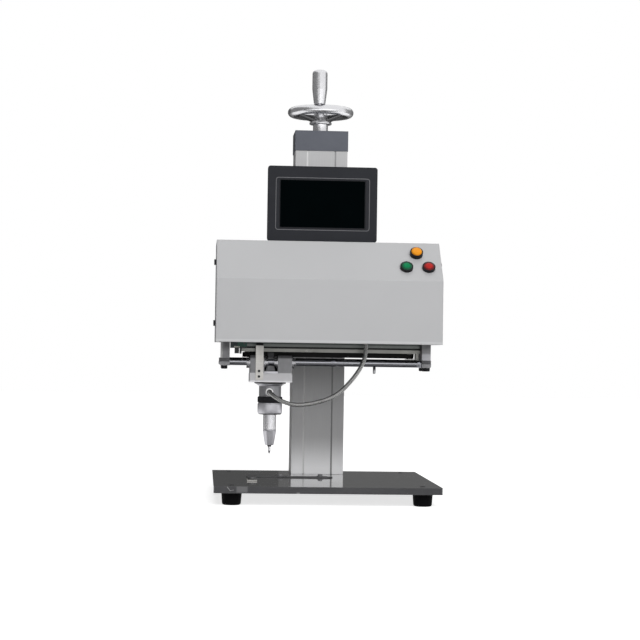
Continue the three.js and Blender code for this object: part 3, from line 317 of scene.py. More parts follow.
def sum_node(tree, operation, a, b=0.0):
    """One step of arithmetic on sockets or numbers."""
    return sprout(tree, "ShaderNodeMath", {0: a, 1: b}, operation=operation).outputs[0]


def blend_colour(tree, share, a, b):
    """Colour a where share is 0 and colour b where it is 1."""
    mix = sprout(tree, "ShaderNodeMix", data_type="RGBA")
    for socket, value in ((0, share), (6, a), (7, b)):
        if isinstance(value, bpy.types.NodeSocket):
            tree.links.new(value, mix.inputs[socket])
        else:
            mix.inputs[socket].default_value = value
    return mix.outputs[2]


def grey(level):
    """A neutral colour from one level."""
    return (level, level, level, 1)


def tint(colour, by):
    """A colour made darker or lighter by a factor."""
    return tuple(min(1, c * by) for c in colour[:3]) + (1,)


# %% The recipe for a finish
# Most values of a noise lie between these two.
noise_low, noise_high = 0.3, 0.7
speck_tint, worn_tint = 0.55, 1.9
gloss_swing = 0.05


def finish(
    name,
    colour,
    roughness,
    metallic=0.0,
    tone=0.08,
    tone_scale=14,
    grain_scale=700,
    grain=0.12,
    stretch=(1, 1, 1),
    grain_depth=0.00004,
    edge=0.0,
    edge_width=0.0006,
    **sockets,
):
    """A material with slow tone shifts, grain, uneven gloss and burnished edges."""
    material = bpy.data.materials.new(name)
    material.use_nodes = True
    tree = material.node_tree
    shader = tree.nodes["Principled BSDF"]
    slow = noise(tree, tone_scale, detail=4)
    fine = noise(tree, grain_scale, stretch, detail=2)
    base = blend_colour(
        tree, ramp(tree, slow, noise_low, noise_high),
        tint(colour, 1 - tone), tint(colour, 1 + tone),
    )
    base = blend_colour(
        tree, ramp(tree, fine, 0.35, 0.65, 0, grain), base, tint(colour, speck_tint)
    )
    if edge:
        soft = sprout(tree, "ShaderNodeBevel", {"Radius": edge_width}, samples=4)
        flat = sprout(tree, "ShaderNodeNewGeometry").outputs["Normal"]
        bend = sprout(
            tree,
            "ShaderNodeVectorMath",
            {0: soft.outputs[0], 1: flat},
            operation="DOT_PRODUCT",
        ).outputs["Value"]
        worn = sum_node(tree, "MULTIPLY", ramp(tree, bend, 0.999, 0.86), edge)
        broken = sum_node(tree, "MULTIPLY", worn, ramp(tree, slow, 0.35, 0.6, 0.35, 1))
        base = blend_colour(tree, broken, base, tint(colour, worn_tint))
    uneven = noise(tree, tone_scale * 3, detail=5)
    gloss = ramp(tree, uneven, noise_low, noise_high, -gloss_swing, gloss_swing)
    height = sum_node(tree, "ADD", fine, sum_node(tree, "MULTIPLY", slow, 0.4))
    bump = sprout(
        tree, "ShaderNodeBump", {"Height": height, "Distance": grain_depth, "Strength": 1.0}
    )
    if edge:
        tree.links.new(soft.outputs[0], bump.inputs["Normal"])
    tree.links.new(base, shader.inputs["Base Color"])
    tree.links.new(sum_node(tree, "ADD", gloss, roughness), shader.inputs["Roughness"])
    tree.links.new(bump.outputs[0], shader.inputs["Normal"])
    shader.inputs["Metallic"].default_value = metallic
    for socket, value in sockets.items():
        shader.inputs[socket.replace("_", " ")].default_value = value
    return material


def wear(node_name, material):
    """Puts a material on one of the frame's solids."""
    mesh = nodes[node_name].data
    mesh.materials.clear()
    mesh.materials.append(material)


# %% [markdown]
# ## Metals
#
# Bare metal has no colour of its own apart from its tint: its look is what it
# reflects, spread by the tool marks. So the metals below differ mostly in
# roughness and in the direction of their grain. A turned part is streaked
# round its axis, an extruded one along its length, and a casting in no
# direction at all. A Metallic of less than one stands for the clear oxide of
# anodising, which scatters light as paint does.

# %% Metals
along_z = (1, 1, 0.02)
around_z = (0.05, 0.05, 1)
around_x = (1, 0.05, 0.05)
around_y = (0.05, 1, 0.05)

anodised = finish(
    "anodised", (0.505, 0.505, 0.51, 1), 0.5, 0.03,
    tone=0.04, tone_scale=3, grain_scale=900, grain=0.1, stretch=along_z,
    grain_depth=0.00002, edge=0.5, edge_width=0.0008,
    Specular_IOR_Level=0.25,
)
dark_aluminium = finish(
    "dark_aluminium", (0.075, 0.076, 0.08, 1), 0.45, 0.6,
    grain_scale=500, grain=0.2, edge=0.4,
)
milled = finish(
    "milled", (0.6, 0.585, 0.56, 1), 0.4, 0.7,
    tone=0.1, tone_scale=30, grain_scale=1200, grain=0.22, stretch=(0.1, 1, 1), edge=0.5,
)
bracket_grey = finish(
    "bracket_grey", (0.26, 0.26, 0.27, 1), 0.45, 0.6,
    tone=0.16, tone_scale=40, grain_scale=1500, grain=0.3, grain_depth=0.00008, edge=0.7,
)
wheel_metal = finish(
    "wheel_metal", (0.75, 0.75, 0.77, 1), 0.27, 0.95,
    tone=0.03, tone_scale=12, grain_scale=900, grain=0.04, stretch=around_z,
    grain_depth=0.000006,
)
# A dark finish for the wheel's far spokes and inner rim: painted shade.
wheel_painted_shade = finish(
    "wheel_painted_shade", (0.07, 0.07, 0.074, 1), 0.5, 0.6,
    tone=0.25, tone_scale=60, grain_scale=900, grain=0.3, grain_depth=0.0002, edge=0.6,
)
chrome = finish(
    "chrome", (0.66, 0.67, 0.72, 1), 0.1, 1.0,
    tone=0.03, grain_scale=900, grain=0.05, stretch=around_x, grain_depth=0.00001,
)
turned_z = finish(
    "turned_z", (0.76, 0.755, 0.78, 1), 0.26, 0.95,
    tone=0.05, grain_scale=2500, grain=0.12, stretch=around_z, grain_depth=0.00002,
    edge=0.6, edge_width=0.0005,
)
turned_x = finish(
    "turned_x", (0.5, 0.5, 0.52, 1), 0.25, 0.9,
    tone=0.05, grain_scale=2500, grain=0.12, stretch=around_x, grain_depth=0.00002, edge=0.6,
)
turned_y = finish(
    "turned_y", (0.5, 0.5, 0.52, 1), 0.25, 0.9,
    tone=0.05, grain_scale=2500, grain=0.12, stretch=around_y, grain_depth=0.00002, edge=0.6,
)
black_steel = finish(
    "black_steel", (0.03, 0.03, 0.033, 1), 0.38, 0.7,
    tone=0.2, grain_scale=1500, grain=0.2, edge=0.8,
)
ring_satin = finish(
    "ring_satin", (0.6, 0.595, 0.63, 1), 0.36, 0.85,
    tone=0.04, grain_scale=1800, grain=0.08, stretch=around_z, grain_depth=0.00001, edge=0.4,
)
housing_grey = finish(
    "housing_grey", (0.27, 0.27, 0.285, 1), 0.36, 0.85,
    tone=0.08, grain_scale=1500, grain=0.12, stretch=around_z, grain_depth=0.00002, edge=0.5,
)
beam_metal = finish(
    "beam_metal", (0.24, 0.24, 0.226, 1), 0.32, 0.85,
    tone=0.08, tone_scale=25, grain_scale=900, grain=0.12, stretch=(0.03, 1, 1),
    grain_depth=0.00002, edge=0.4,
)
bar_grey = finish(
    "bar_grey", (0.11, 0.11, 0.113, 1), 0.4, 0.5,
    tone=0.08, grain_scale=900, grain=0.15, stretch=(0.05, 1, 1), edge=0.5,
)
bronze = finish(
    "bronze", (0.4, 0.24, 0.07, 1), 0.35, 0.9, tone=0.12, grain_scale=1500, stretch=around_z,
)
hose_steel = finish(
    "hose_steel", (0.36, 0.36, 0.355, 1), 0.22, 0.95,
    tone=0.15, tone_scale=60, grain_scale=2000, grain=0.2,
)
print("metals:", len(bpy.data.materials))

# %% [markdown]
# ## Paints, plastics and rubber
#
# The head's sheet metal has a fine powder coat, which sets with the bumps of
# an orange peel about a millimetre apart. The base has a smooth dark coat with
# a clear gloss: seen almost edge on it mirrors the column. Moulded plastic is
# eroded in the mould and so is dull with a fine grain. All of these are the
# same recipe with Metallic at zero and other grain.

# %% Paints and plastics
base_paint = finish(
    "base_paint", (0.062, 0.062, 0.066, 1), 0.12, 0.0,
    tone=0.05, tone_scale=9, grain_scale=1600, grain=0.08, grain_depth=0.0000005,
    edge=0.5, edge_width=0.0009, Coat_Weight=1.0, Coat_Roughness=0.03,
)
cover_paint = finish(
    "cover_paint", (0.42, 0.422, 0.43, 1), 0.42, 0.0,
    tone=0.015, tone_scale=6, grain_scale=900, grain=0.04, grain_depth=0.00006,
    edge=0.25, edge_width=0.003,
)
cap_paint = finish(
    "cap_paint", (0.115, 0.122, 0.143, 1), 0.5, 0.0,
    tone=0.05, tone_scale=25, grain_scale=1200, grain=0.08, edge=0.4, Specular_IOR_Level=0.2,
)
charcoal = finish(
    "charcoal", (0.022, 0.023, 0.027, 1), 0.5, 0.0,
    tone=0.06, tone_scale=20, grain_scale=2200, grain=0.2, grain_depth=0.00005, edge=0.3,
    Specular_IOR_Level=0.12,
)
screen_glass = finish(
    "screen_glass", (0.0002, 0.0012, 0.0015, 1), 0.12, 0.0,
    tone=0.2, grain_scale=60, grain=0.1, grain_depth=0.000002, Specular_IOR_Level=0.008,
)
black_plastic = finish(
    "black_plastic", (0.011, 0.011, 0.013, 1), 0.42, 0.0,
    tone=0.15, grain_scale=2200, grain=0.2, edge=0.5, Specular_IOR_Level=0.15,
)
motor_black = finish(
    "motor_black", (0.012, 0.012, 0.013, 1), 0.4, 0.3,
    tone=0.2, grain_scale=1400, grain=0.3, edge=0.7,
)
foot_rubber = finish(
    "foot_rubber", (0.0035, 0.0035, 0.004, 1), 0.55, 0.0,
    tone=0.2, grain_scale=1800, grain=0.3, grain_depth=0.0001, edge=0.4,
    Specular_IOR_Level=0.03,
)
belt_rubber = finish(
    "belt_rubber", (0.01, 0.01, 0.01, 1), 0.6, 0.0,
    tone=0.2, grain_scale=700, grain=0.4, stretch=(1, 1, 0.05), grain_depth=0.0002,
    Specular_IOR_Level=0.15,
)
gland_plate = finish(
    "gland_plate", (0.94, 0.94, 0.94, 1), 0.3, 0.1, tone=0.02, grain_scale=1500, grain=0.03,
)
board_green = finish(
    "board_green", (0.012, 0.075, 0.05, 1), 0.4, 0.0,
    tone=0.3, tone_scale=180, grain_scale=900, grain=0.5, grain_depth=0.0001,
)
amber_lens = finish(
    "amber_lens", (0.74, 0.27, 0.008, 1), 0.35, 0.0, tone=0.1, tone_scale=80, grain=0.1,
    Specular_IOR_Level=0.25,
)
green_lens = finish(
    "green_lens", (0.003, 0.07, 0.03, 1), 0.35, 0.0, tone=0.15, tone_scale=80, grain=0.1,
    Specular_IOR_Level=0.25,
)
red_lens = finish(
    "red_lens", (0.13, 0.006, 0.008, 1), 0.35, 0.0, tone=0.15, tone_scale=80, grain=0.1,
    Specular_IOR_Level=0.25,
)
print("materials:", len(bpy.data.materials))

# %% [markdown]
# ## Which solid wears what
#
# The frame names a slot for each solid, so most finishes are given by slot. A few
# solids look unlike the rest of their slot, because they are turned along another
# axis, drawn or ground, and these are given a finish by name.

# %% Finishes for the frame's solids
finish_by_slot = {
    "base_paint": base_paint,
    "foot_rubber": foot_rubber,
    "anodised": anodised,
    "cap_paint": cap_paint,
    "dark_aluminium": dark_aluminium,
    "machined": milled,
    "cast": bracket_grey,
    "wheel_metal": wheel_metal,
    "rod_chrome": chrome,
    "steel": turned_z,
    "dark_steel": black_steel,
    "bronze": bronze,
    "cover_paint": cover_paint,
    "charcoal_plastic": charcoal,
    "screen": screen_glass,
    "board_green": board_green,
    "black_plastic": black_plastic,
    "motor_black": motor_black,
    "white_plastic": gland_plate,
    "hose_metal": hose_steel,
    "belt_rubber": belt_rubber,
    "amber_lens": amber_lens,
    "green_lens": green_lens,
    "red_lens": red_lens,
}
for part in frame["record"]["subparts"]:
    wear(part["node"], finish_by_slot[part["material_slot"]])
finish_by_node = {
    "y_screw": turned_y,
    "bearing_front_left": turned_x,
    "bearing_front_right": turned_x,
    "bearing_rear": turned_x,
    "solenoid_housing": housing_grey,
    "stroke_ring": ring_satin,
    "stop_bar": bar_grey,
    "x_beam": beam_metal,
    "stop_block": milled,
    "guide_tube": turned_z,
}
for node_name, material in finish_by_node.items():
    wear(node_name, material)
hose.data.materials.append(hose_steel)

# %% [markdown]
# ## Turned parts and screws
#
# A lathe part is a profile swung round an axis. Blender's Screw modifier does
# that too, but with rings of points one level can be given another shape, and
# so a screw gets its hexagon socket and a ring gets its knurl in the same mesh.
# Each piece then rides on the body that carries it and wears its finish.

# %% Turned parts
to_top, to_floor = (0, 0, 1), (0, 0, -1)
to_front, to_back = (0, -1, 0), (0, 1, 0)
both_sides = (("left", -1), ("right", 1))


def turned(name, profile, place, along=to_top, sides=32, shape=None, sharp=35):
    """A lathe part from pairs of radius and height in mm, along an axis from a place."""
    axis = Vector(along).normalized()
    side = Vector((0, 0, 1)) if abs(axis.z) < 0.9 else Vector((1, 0, 0))
    side = (side - axis * side.dot(axis)).normalized()
    other = axis.cross(side)
    rings = []
    for level, (radius, height) in enumerate(profile):
        ring = []
        for j in range(sides):
            angle = 2 * pi * j / sides
            reach = radius * (shape(level, angle) if shape else 1)
            out = side * cos(angle) + other * sin(angle)
            ring.append((Vector(place) + axis * height + out * reach) * mm)
        rings.append(ring)
    return skin(name, rings, sharp=sharp)


def fasten(piece, body, material):
    """Ties a piece to its body and its finish."""
    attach(piece, body)
    piece.data.materials.append(material)
    return piece


# %% Screws
cross_waist_share = 0.35
hexagon_key_share, cross_key_share = 0.52, 0.62
sunk = 0.2


def hexagon(angle):
    """The radius of a hexagon against its circle."""
    return cos(pi / 6) / cos((angle % (pi / 3)) - pi / 6)


def cross(angle):
    """The radius of a cross recess against its circle."""
    return cross_waist_share + (1 - cross_waist_share) * abs(cos(2 * angle)) ** 6


def screw(name, place, along, radius, height, body, material, recess=hexagon):
    """A screw head with a broken edge and a recess for its key."""
    edge = min(0.6, radius * 0.14)
    key = radius * (hexagon_key_share if recess is hexagon else cross_key_share)
    depth = min(height * 0.55, radius * 0.7)
    profile = [
        (radius, -sunk),
        (radius, height - edge),
        (radius - edge * 0.4, height - edge * 0.3),
        (radius - edge * 1.2, height),
        (key, height),
        (key * 0.94, height - depth),
    ]
    first_recess_level = 4

    def shape(level, angle):
        return recess(angle) if level >= first_recess_level else 1

    head = turned(name, profile, place, along, 24, shape)
    return fasten(head, body, material)


# %% [markdown]
# ## Milled and bent parts
#
# A milled block has its edges broken with a file or a small chamfer, and that
# thin line of light is what tells metal from cardboard. Bmesh's bevel does it
# for blocks. Plates with an outline are pushed out from it, with the first and
# last ring drawn in a little.


# %% Blocks and plates
def block(name, low, high, bevel=0.4):
    """A block between two corners in mm, with all its edges broken."""
    work = bmesh.new()
    bmesh.ops.create_cube(work, size=1)
    for corner in work.verts:
        corner.co = Vector(
            ((a + b) / 2 + c * (b - a)) * mm for a, b, c in zip(low, high, corner.co)
        )
    bmesh.ops.bevel(
        work, geom=work.edges[:], offset=bevel * mm, segments=2, profile=0.5, affect="EDGES"
    )
    mesh = bpy.data.meshes.new(name)
    work.to_mesh(mesh)
    work.free()
    mesh.shade_smooth()
    mesh.set_sharp_from_angle(angle=radians(35))
    piece = bpy.data.objects.new(name, mesh)
    bpy.context.scene.collection.objects.link(piece)
    return piece


def rounded(left, right, low, high, corner, steps=6):
    """A rectangle with round corners, as pairs, anticlockwise."""
    outline = []
    for k, (x, y) in enumerate(
        ((right - corner, high - corner), (left + corner, high - corner),
         (left + corner, low + corner), (right - corner, low + corner))
    ):
        for i in range(steps + 1):
            angle = pi / 2 * (k + i / steps)
            outline.append((x + corner * cos(angle), y + corner * sin(angle)))
    return outline


def plate(name, outline, front, back, bevel=0.3):
    """An outline of x and z pushed out along y from front to back, edges broken."""
    middle_x = sum(x for x, _ in outline) / len(outline)
    middle_z = sum(z for _, z in outline) / len(outline)
    size = max(abs(x - middle_x) + abs(z - middle_z) for x, z in outline)
    # A corner's steps along x and z add up to as much as 1.4 times its distance.
    corner_excess = 1.4
    rings = []
    for y, inset in ((front, bevel), (front + bevel, 0), (back - bevel, 0), (back, bevel)):
        keep = 1 - inset / size * corner_excess
        ring = []
        for x, z in outline:
            ring.append(
                Vector((middle_x + (x - middle_x) * keep, y, middle_z + (z - middle_z) * keep)) * mm
            )
        rings.append(ring)
    return skin(name, rings)


def trim(name, outline, width, front, back):
    """A band of some width that follows the inside of a closed outline of x and z."""
    lip, slope = 0.1, 0.2
    count = len(outline)
    rings = []
    for i, (x, z) in enumerate(outline):
        before, after = outline[i - 1], outline[(i + 1) % count]
        run = Vector((after[0] - before[0], after[1] - before[1])).normalized()
        inner_x, inner_z = x - run.y * width, z + run.x * width
        ring = [
            (x, back, z),
            (x, front + lip, z),
            (x * (1 - slope) + inner_x * slope, front, z * (1 - slope) + inner_z * slope),
            (x * slope + inner_x * (1 - slope), front, z * slope + inner_z * (1 - slope)),
            (inner_x, front + lip, inner_z),
            (inner_x, back, inner_z),
        ]
        rings.append([Vector(point) * mm for point in ring])
    return skin(name, rings, closed=True)


def four_corners(x, y):
    """The four corners of a rectangle of places about a middle, by its half sides."""
    return (-x, -y), (x, -y), (-x, y), (x, y)


# %% [markdown]
# ## Handwheel and grip
#
# The wheel is cast, turned and polished to a satin. The frame's solid has few
# faces so that it can collide cheaply, and on polished metal every facet
# shows. So the rim, the hub, the spokes and the grip are drawn again with many
# faces, in the same place and within two millimetres of the same size. They
# stay one wheel with a loose grip. The near spoke is drawn flatter and higher
# than the other two, which is how it looks in the picture.

# %% Rim and hub
wheel_x, wheel_y = middle_of("column_cap")[:2]
rim_z, rim_radius, rim_tube = 734.3, 55.2, 8.8
rim_steps, tube_steps = 120, 28
rim_rings = []
for i in range(rim_steps):
    turn = 2 * pi * i / rim_steps
    ring = []
    for j in range(tube_steps):
        angle = 2 * pi * j / tube_steps
        reach = rim_radius + rim_tube * cos(angle)
        place = (
            wheel_x + reach * cos(turn),
            wheel_y + reach * sin(turn),
            rim_z + rim_tube * sin(angle),
        )
        ring.append(Vector(place) * mm)
    rim_rings.append(ring)
rim = skin("handwheel_rim", rim_rings, closed=True, sharp=60)
hub_profile = [
    (14, 694.4), (14.6, 695), (14.6, 709.8), (15, 711), (20.4, 711.2), (21.3, 711.6),
    (21.6, 712.4), (21.6, 714.6), (21.2, 715.4), (20.2, 715.9), (15.4, 716.4), (13.9, 717.6),
    (13.6, 720), (13.6, 729), (13.6, 731.2), (12.8, 732.4), (6.6, 732.4), (6.2, 731.4),
]
hub = turned("handwheel_hub", hub_profile, (wheel_x, wheel_y, 0), sides=64)

# %% Spokes
near_spoke = 1
spoke_start, spoke_run, spoke_steps = 9, 40.5, 12
near_spoke_z, near_spoke_rise = 728, 5
spoke_z, spoke_rise = 715.6, 17.4
spoke_half_width, spoke_waist = 8.4, 1.4
spoke_half_depth, spoke_thinning = 4.2, 0.6
spokes = []
for number, degrees in enumerate((-96.3, 23.7, 143.7), 1):
    out = Vector((cos(radians(degrees)), sin(radians(degrees)), 0))
    across = Vector((-out.y, out.x, 0))
    rings = []
    for k in range(spoke_steps + 1):
        share = k / spoke_steps
        reach = spoke_start + spoke_run * share
        if number == near_spoke:
            height = near_spoke_z + near_spoke_rise * share
        else:
            height = spoke_z + spoke_rise * share**0.9
        half_width = spoke_half_width - spoke_waist * sin(pi * share)
        half_depth = spoke_half_depth - spoke_thinning * share
        centre = Vector((wheel_x, wheel_y, height)) + out * reach
        ring = []
        for j in range(20):
            angle = 2 * pi * j / 20
            wide = across * half_width * cos(angle)
            deep = Vector((0, 0, half_depth)) * sin(angle)
            ring.append((centre + wide + deep) * mm)
        rings.append(ring)
    spokes.append(skin(f"handwheel_spoke_{number}", rings, sharp=60))

# %% The wheel's finishes
# The two far spokes wear the dark finish: painted shade. The near spoke, the rim and the hub are
# polished.
for piece, metal in (
    (rim, wheel_metal), (hub, wheel_metal), (spokes[0], wheel_metal),
    (spokes[1], wheel_painted_shade), (spokes[2], wheel_painted_shade),
):
    fasten(piece, "handwheel", metal)
    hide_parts("handwheel")
# The rim's faces that look inward, apart from the topmost, get the dark finish: painted shade.
shaded_inward, shaded_below = 0.0018, 0.0024
polished, in_painted_shade = 0, 1
rim.data.materials.append(wheel_painted_shade)
for face in rim.data.polygons:
    out = face.center - Vector((wheel_x, wheel_y, rim_z)) * mm
    inward = rim_radius * mm - Vector((out.x, out.y)).length
    in_shade = inward > shaded_inward and out.z < shaded_below
    face.material_index = in_painted_shade if in_shade else polished
print("wheel", len(rim.data.polygons), "faces in the rim")

# %% Grip
grip_x, grip_y = middle_of("handle_grip")[:2]
taper_z, taper_height, taper_radius, taper_gain = 745, 27.5, 11, 3.4
dome_z, dome_height, dome_radius, dome_inset = 803.4, 5.4, 14, 7
taper_steps, dome_steps = 12, 6
grip_profile = [(10.2, 743.6), (10.9, 744.2)]
for k in range(taper_steps + 1):
    share = k / taper_steps
    grip_profile.append(
        (taper_radius + taper_gain * share**0.94, taper_z + taper_height * share)
    )
grip_profile += [(14.4, 785), (14.4, 801.5), (14.2, 803)]
for k in range(1, dome_steps + 1):
    angle = pi / 2 * k / dome_steps
    grip_profile.append(
        (dome_radius - dome_inset * (1 - cos(angle)), dome_z + dome_height * sin(angle))
    )
grip_profile += [(4.4, 809.4), (1.6, 809.7)]
grip = turned("grip_sleeve", grip_profile, (grip_x, grip_y, 0), sides=56)
fasten(grip, "grip", wheel_metal)
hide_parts("handle_grip")

# %% [markdown]
# ## Screws of the head, the column and the stand
#
# Sheet metal is held by a few screws, and their rhythm makes a machine look
# made. Socket screws hold what must be strong, cross recesses what a worker
# opens. Modelled heads are used because they cast their own small shadows.

# %% Screws of the head
cover_side, cover_back = edges_of("head_cover")[1][:2]
plate_back = edges_of("head_back_plate")[1][1]
cover_screw_y, plate_screw_x, back_screw_x = -120, 60, cover_side - 10
for side, sign in both_sides:
    for level, z in (("upper", 426), ("lower", 317.4)):
        screw(
            f"cover_screw_{side}_{level}", (cover_side * sign, cover_screw_y, z), (sign, 0, 0),
            radius=5.3, height=4.2, body="head", material=black_steel,
        )
    for level, z in (("upper", 440), ("lower", 305)):
        screw(
            f"plate_screw_{side}_{level}", (plate_screw_x * sign, plate_back, z), to_back,
            radius=4.2, height=2.2, body="head", material=black_steel,
        )
        screw(
            f"back_screw_{side}_{level}", (back_screw_x * sign, cover_back, z), to_back,
            radius=3.6, height=1.8, body="head", material=black_steel, recess=cross,
        )

# %% Screws of the column and the stand
cap_top = edges_of("column_cap")[1][2]
base_top = edges_of("base_plate")[1][2]
bar_y = middle_of("stop_bar")[1]
block_x, block_y = middle_of("stop_block")[:2]
cap_screw_x, cap_screw_y = 38, 32
washer_low, washer_top, block_screw_z = 36.4, 37.4, 36.5
for side, sign in both_sides:
    for row, y in (("front", wheel_y - cap_screw_y), ("rear", wheel_y + cap_screw_y)):
        screw(
            f"cap_screw_{side}_{row}", (cap_screw_x * sign, y, cap_top), to_top,
            radius=5, height=0.4, body="stand", material=black_steel,
        )
for name, x in (("middle", 0), ("left", -75)):
    washer = turned(
        f"stop_washer_{name}",
        [(6.6, washer_low), (6.6, 37.1), (6.3, washer_top), (3, washer_top)],
        (x, bar_y, 0),
    )
    fasten(washer, "stand", bracket_grey)
    screw(
        f"stop_screw_{name}", (x, bar_y, washer_top), to_top,
        radius=4.3, height=2.6, body="stand", material=bracket_grey,
    )
screw(
    "block_screw", (block_x, block_y, block_screw_z), to_top,
    radius=7.6, height=4.6, body="stand", material=bar_grey, recess=cross,
)
for side in ("left", "right"):
    for row in ("front", "rear"):
        foot_x, foot_y = middle_of(f"foot_{row}_{side}")[:2]
        screw(
            f"foot_screw_{row}_{side}", (foot_x, foot_y, base_top), to_top,
            radius=5, height=0.5, body="stand", material=black_steel, recess=cross,
        )

# %% [markdown]
# ## Seals of the column's slots
#
# Two slots run down the column's front, and the webs of the lift slider move
# in them. A seal in each keeps chips out. A real one may be a brush or a folded
# strip. From the front each looks like two thin lips side by side, so two long
# thin blocks are drawn. The left seal is painted pale as painted light, and the
# right one grey as painted shade.

# %% Slot seals
seal_painted_light = finish(
    "seal_painted_light", (0.72, 0.72, 0.72, 1), 0.5, 0.0,
    tone=0.05, tone_scale=30, grain_scale=800, grain=0.1, stretch=along_z,
)
seal_painted_shade = finish(
    "seal_painted_shade", (0.3, 0.3, 0.305, 1), 0.5, 0.0,
    tone=0.08, tone_scale=30, grain_scale=800, grain=0.1, stretch=along_z,
)
slot_x, lip_shift, lip_half = 26.7, 0.85, 0.8
seal_front, seal_back, seal_low, seal_high = 102.9, 104.1, 34.4, 655
# The left seal's pale colour is painted light, the right seal's grey is painted shade.
for (side, sign), material in zip(both_sides, (seal_painted_light, seal_painted_shade)):
    for lip, shift in (("inner", -lip_shift), ("outer", lip_shift)):
        x = slot_x * sign + shift
        seal = block(
            f"slot_seal_{side}_{lip}", (x - lip_half, seal_front, seal_low),
            (x + lip_half, seal_back, seal_high), 0.2,
        )
        fasten(seal, "stand", material)

# %% [markdown]
# ## Gantry details
#
# Under each bracket a jaw clamps the two rods, closed by two screws with
# rubber bumpers. The jaw is split from the bracket by a gap, filled with a dark
# block as painted shade. On the left a small board with a fork senses the flag
# of the carriage. All of these are plates and blocks, because they are sawn and
# milled from bar.

# %% Clamp jaws
# The dark finish of the gap above the jaw is painted shade.
jaw_gap = finish("jaw_gap", (0.1, 0.1, 0.106, 1), 0.5, 0.4, grain_scale=1500, grain=0.2)
jaw_low, jaw_high, jaw_front, jaw_back, cut = 242.1, 249.2, -101, -31, 2.6
gap_low, gap_high, gap_inset = 249, 255.6, 0.5
for side, left, right in (("left", -192.8, -173.5), ("right", 173.5, 190.3)):
    if side == "right":
        outline = [
            (left, jaw_low), (right - cut, jaw_low), (right, jaw_low + cut), (right, jaw_high),
            (left, jaw_high),
        ]
    else:
        outline = [
            (left + cut, jaw_low), (right, jaw_low), (right, jaw_high), (left, jaw_high),
            (left, jaw_low + cut),
        ]
    jaw = plate(f"clamp_jaw_{side}", outline, jaw_front, jaw_back, 0.5)
    fasten(jaw, "gantry", bracket_grey)
    # A dark block in the gap over the jaw: painted shade.
    gap = block(
        f"clamp_gap_{side}", (left + gap_inset, jaw_front + gap_inset, gap_low),
        (right - 0.2, jaw_back - gap_inset, gap_high), 0.3,
    )
    fasten(gap, "gantry", jaw_gap)

# %% Bumpers
bumper_z, bumper_height = 242.3, 6.4
for side, x, radius in (("left", -183.1, 5.8), ("right", 182.4, 7.4)):
    for row, y in (("front", -87.5), ("rear", -44.5)):
        profile = [
            (radius - 0.6, 0), (radius, 0.5), (radius, 5), (radius - 0.4, 5.9),
            (radius - 1.2, bumper_height), (radius * 0.45, bumper_height), (radius * 0.4, 5),
        ]
        bumper = turned(f"bumper_{side}_{row}", profile, (x, y, bumper_z), to_floor, 36)
        fasten(bumper, "gantry", black_plastic)

# %% Belt guard
guard_left, guard_right, guard_low, guard_high = -146, 164, 261.8, 267.6
guard_front, guard_back = -57.4, -56.2
guard_outline = [
    (guard_left, guard_low), (guard_right - 1, guard_low), (guard_right, guard_low + 1),
    (guard_right, guard_high), (guard_left, guard_high),
]
guard = plate("belt_guard", guard_outline, guard_front, guard_back, 0.2)
fasten(guard, "gantry", black_plastic)

# %% [markdown]
# ## Belt
#
# A rubber belt with teeth inside pulls the carriage along. It is a loop around two
# pulleys. Walking along the loop in quarter steps of its teeth and drawing a small
# oblong at every step gives the teeth for nothing: each second pair of oblongs
# stands further in. A black strip behind the rods, from bracket to bracket, is
# painted shade above them.

# %% Toothed belt and shade strip
drive_x, belt_y = middle_of("x_drive_pulley")[:2]
idler_x = middle_of("x_idler_pulley")[0]
belt_low, belt_high = 258.6, 266.4
belt_inside, belt_outside, tooth = 6.6, 7.6, 0.6
tooth_pitch, steps_per_tooth = 5, 4
straight = idler_x - drive_x
loop_length = 2 * straight + 2 * pi * belt_inside
steps = steps_per_tooth * int(loop_length / tooth_pitch)


def belt_place(run):
    """The middle line's point and outward direction after a run along the loop in mm."""
    bend = pi * belt_inside
    if run < straight:
        return Vector((drive_x + run, belt_y - belt_inside, 0)), Vector((0, -1, 0))
    run -= straight
    if run < bend:
        angle = -pi / 2 + run / belt_inside
        out = Vector((cos(angle), sin(angle), 0))
        return Vector((idler_x, belt_y, 0)) + out * belt_inside, out
    run -= bend
    if run < straight:
        return Vector((idler_x - run, belt_y + belt_inside, 0)), Vector((0, 1, 0))
    angle = pi / 2 + (run - straight) / belt_inside
    out = Vector((cos(angle), sin(angle), 0))
    return Vector((drive_x, belt_y, 0)) + out * belt_inside, out


bottom, top = Vector((0, 0, belt_low)), Vector((0, 0, belt_high))
belt_rings = []
for k in range(steps):
    point, out = belt_place(loop_length * k / steps)
    inner = point - out * (tooth if k % steps_per_tooth < 2 else 0)
    outer = point + out * (belt_outside - belt_inside)
    oblong = (inner + bottom, outer + bottom, outer + top, inner + top)
    belt_rings.append([corner * mm for corner in oblong])
belt = skin("toothed_belt", belt_rings, closed=True, sharp=30)
fasten(belt, "gantry", belt_rubber)
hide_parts("x_belt")
# A black strip behind the rods stands for the shade above them: painted shade.
shade_strip_end, shade_strip_low, shade_strip_high, shade_strip_front, shade_strip_back = 189, 252.8, 256.4, -31.6, -29.6
shade_strip_outline = [
    (-shade_strip_end, shade_strip_low), (shade_strip_end, shade_strip_low), (shade_strip_end, shade_strip_high), (-shade_strip_end, shade_strip_high),
]
shade_strip = plate("rod_shade_strip", shade_strip_outline, shade_strip_front, shade_strip_back, 0.2)
fasten(shade_strip, "gantry", black_plastic)
print("belt has", steps // steps_per_tooth, "teeth on a loop of", round(loop_length), "mm")

# %% Sensor board
chip_grey = finish("chip_grey", (0.05, 0.052, 0.05, 1), 0.45, 0.0, grain_scale=2000, grain=0.2)
solder = finish("solder", (0.55, 0.56, 0.5, 1), 0.3, 0.9, grain_scale=1500, grain=0.2)
board_face, chip_face = -98.9, -100.3
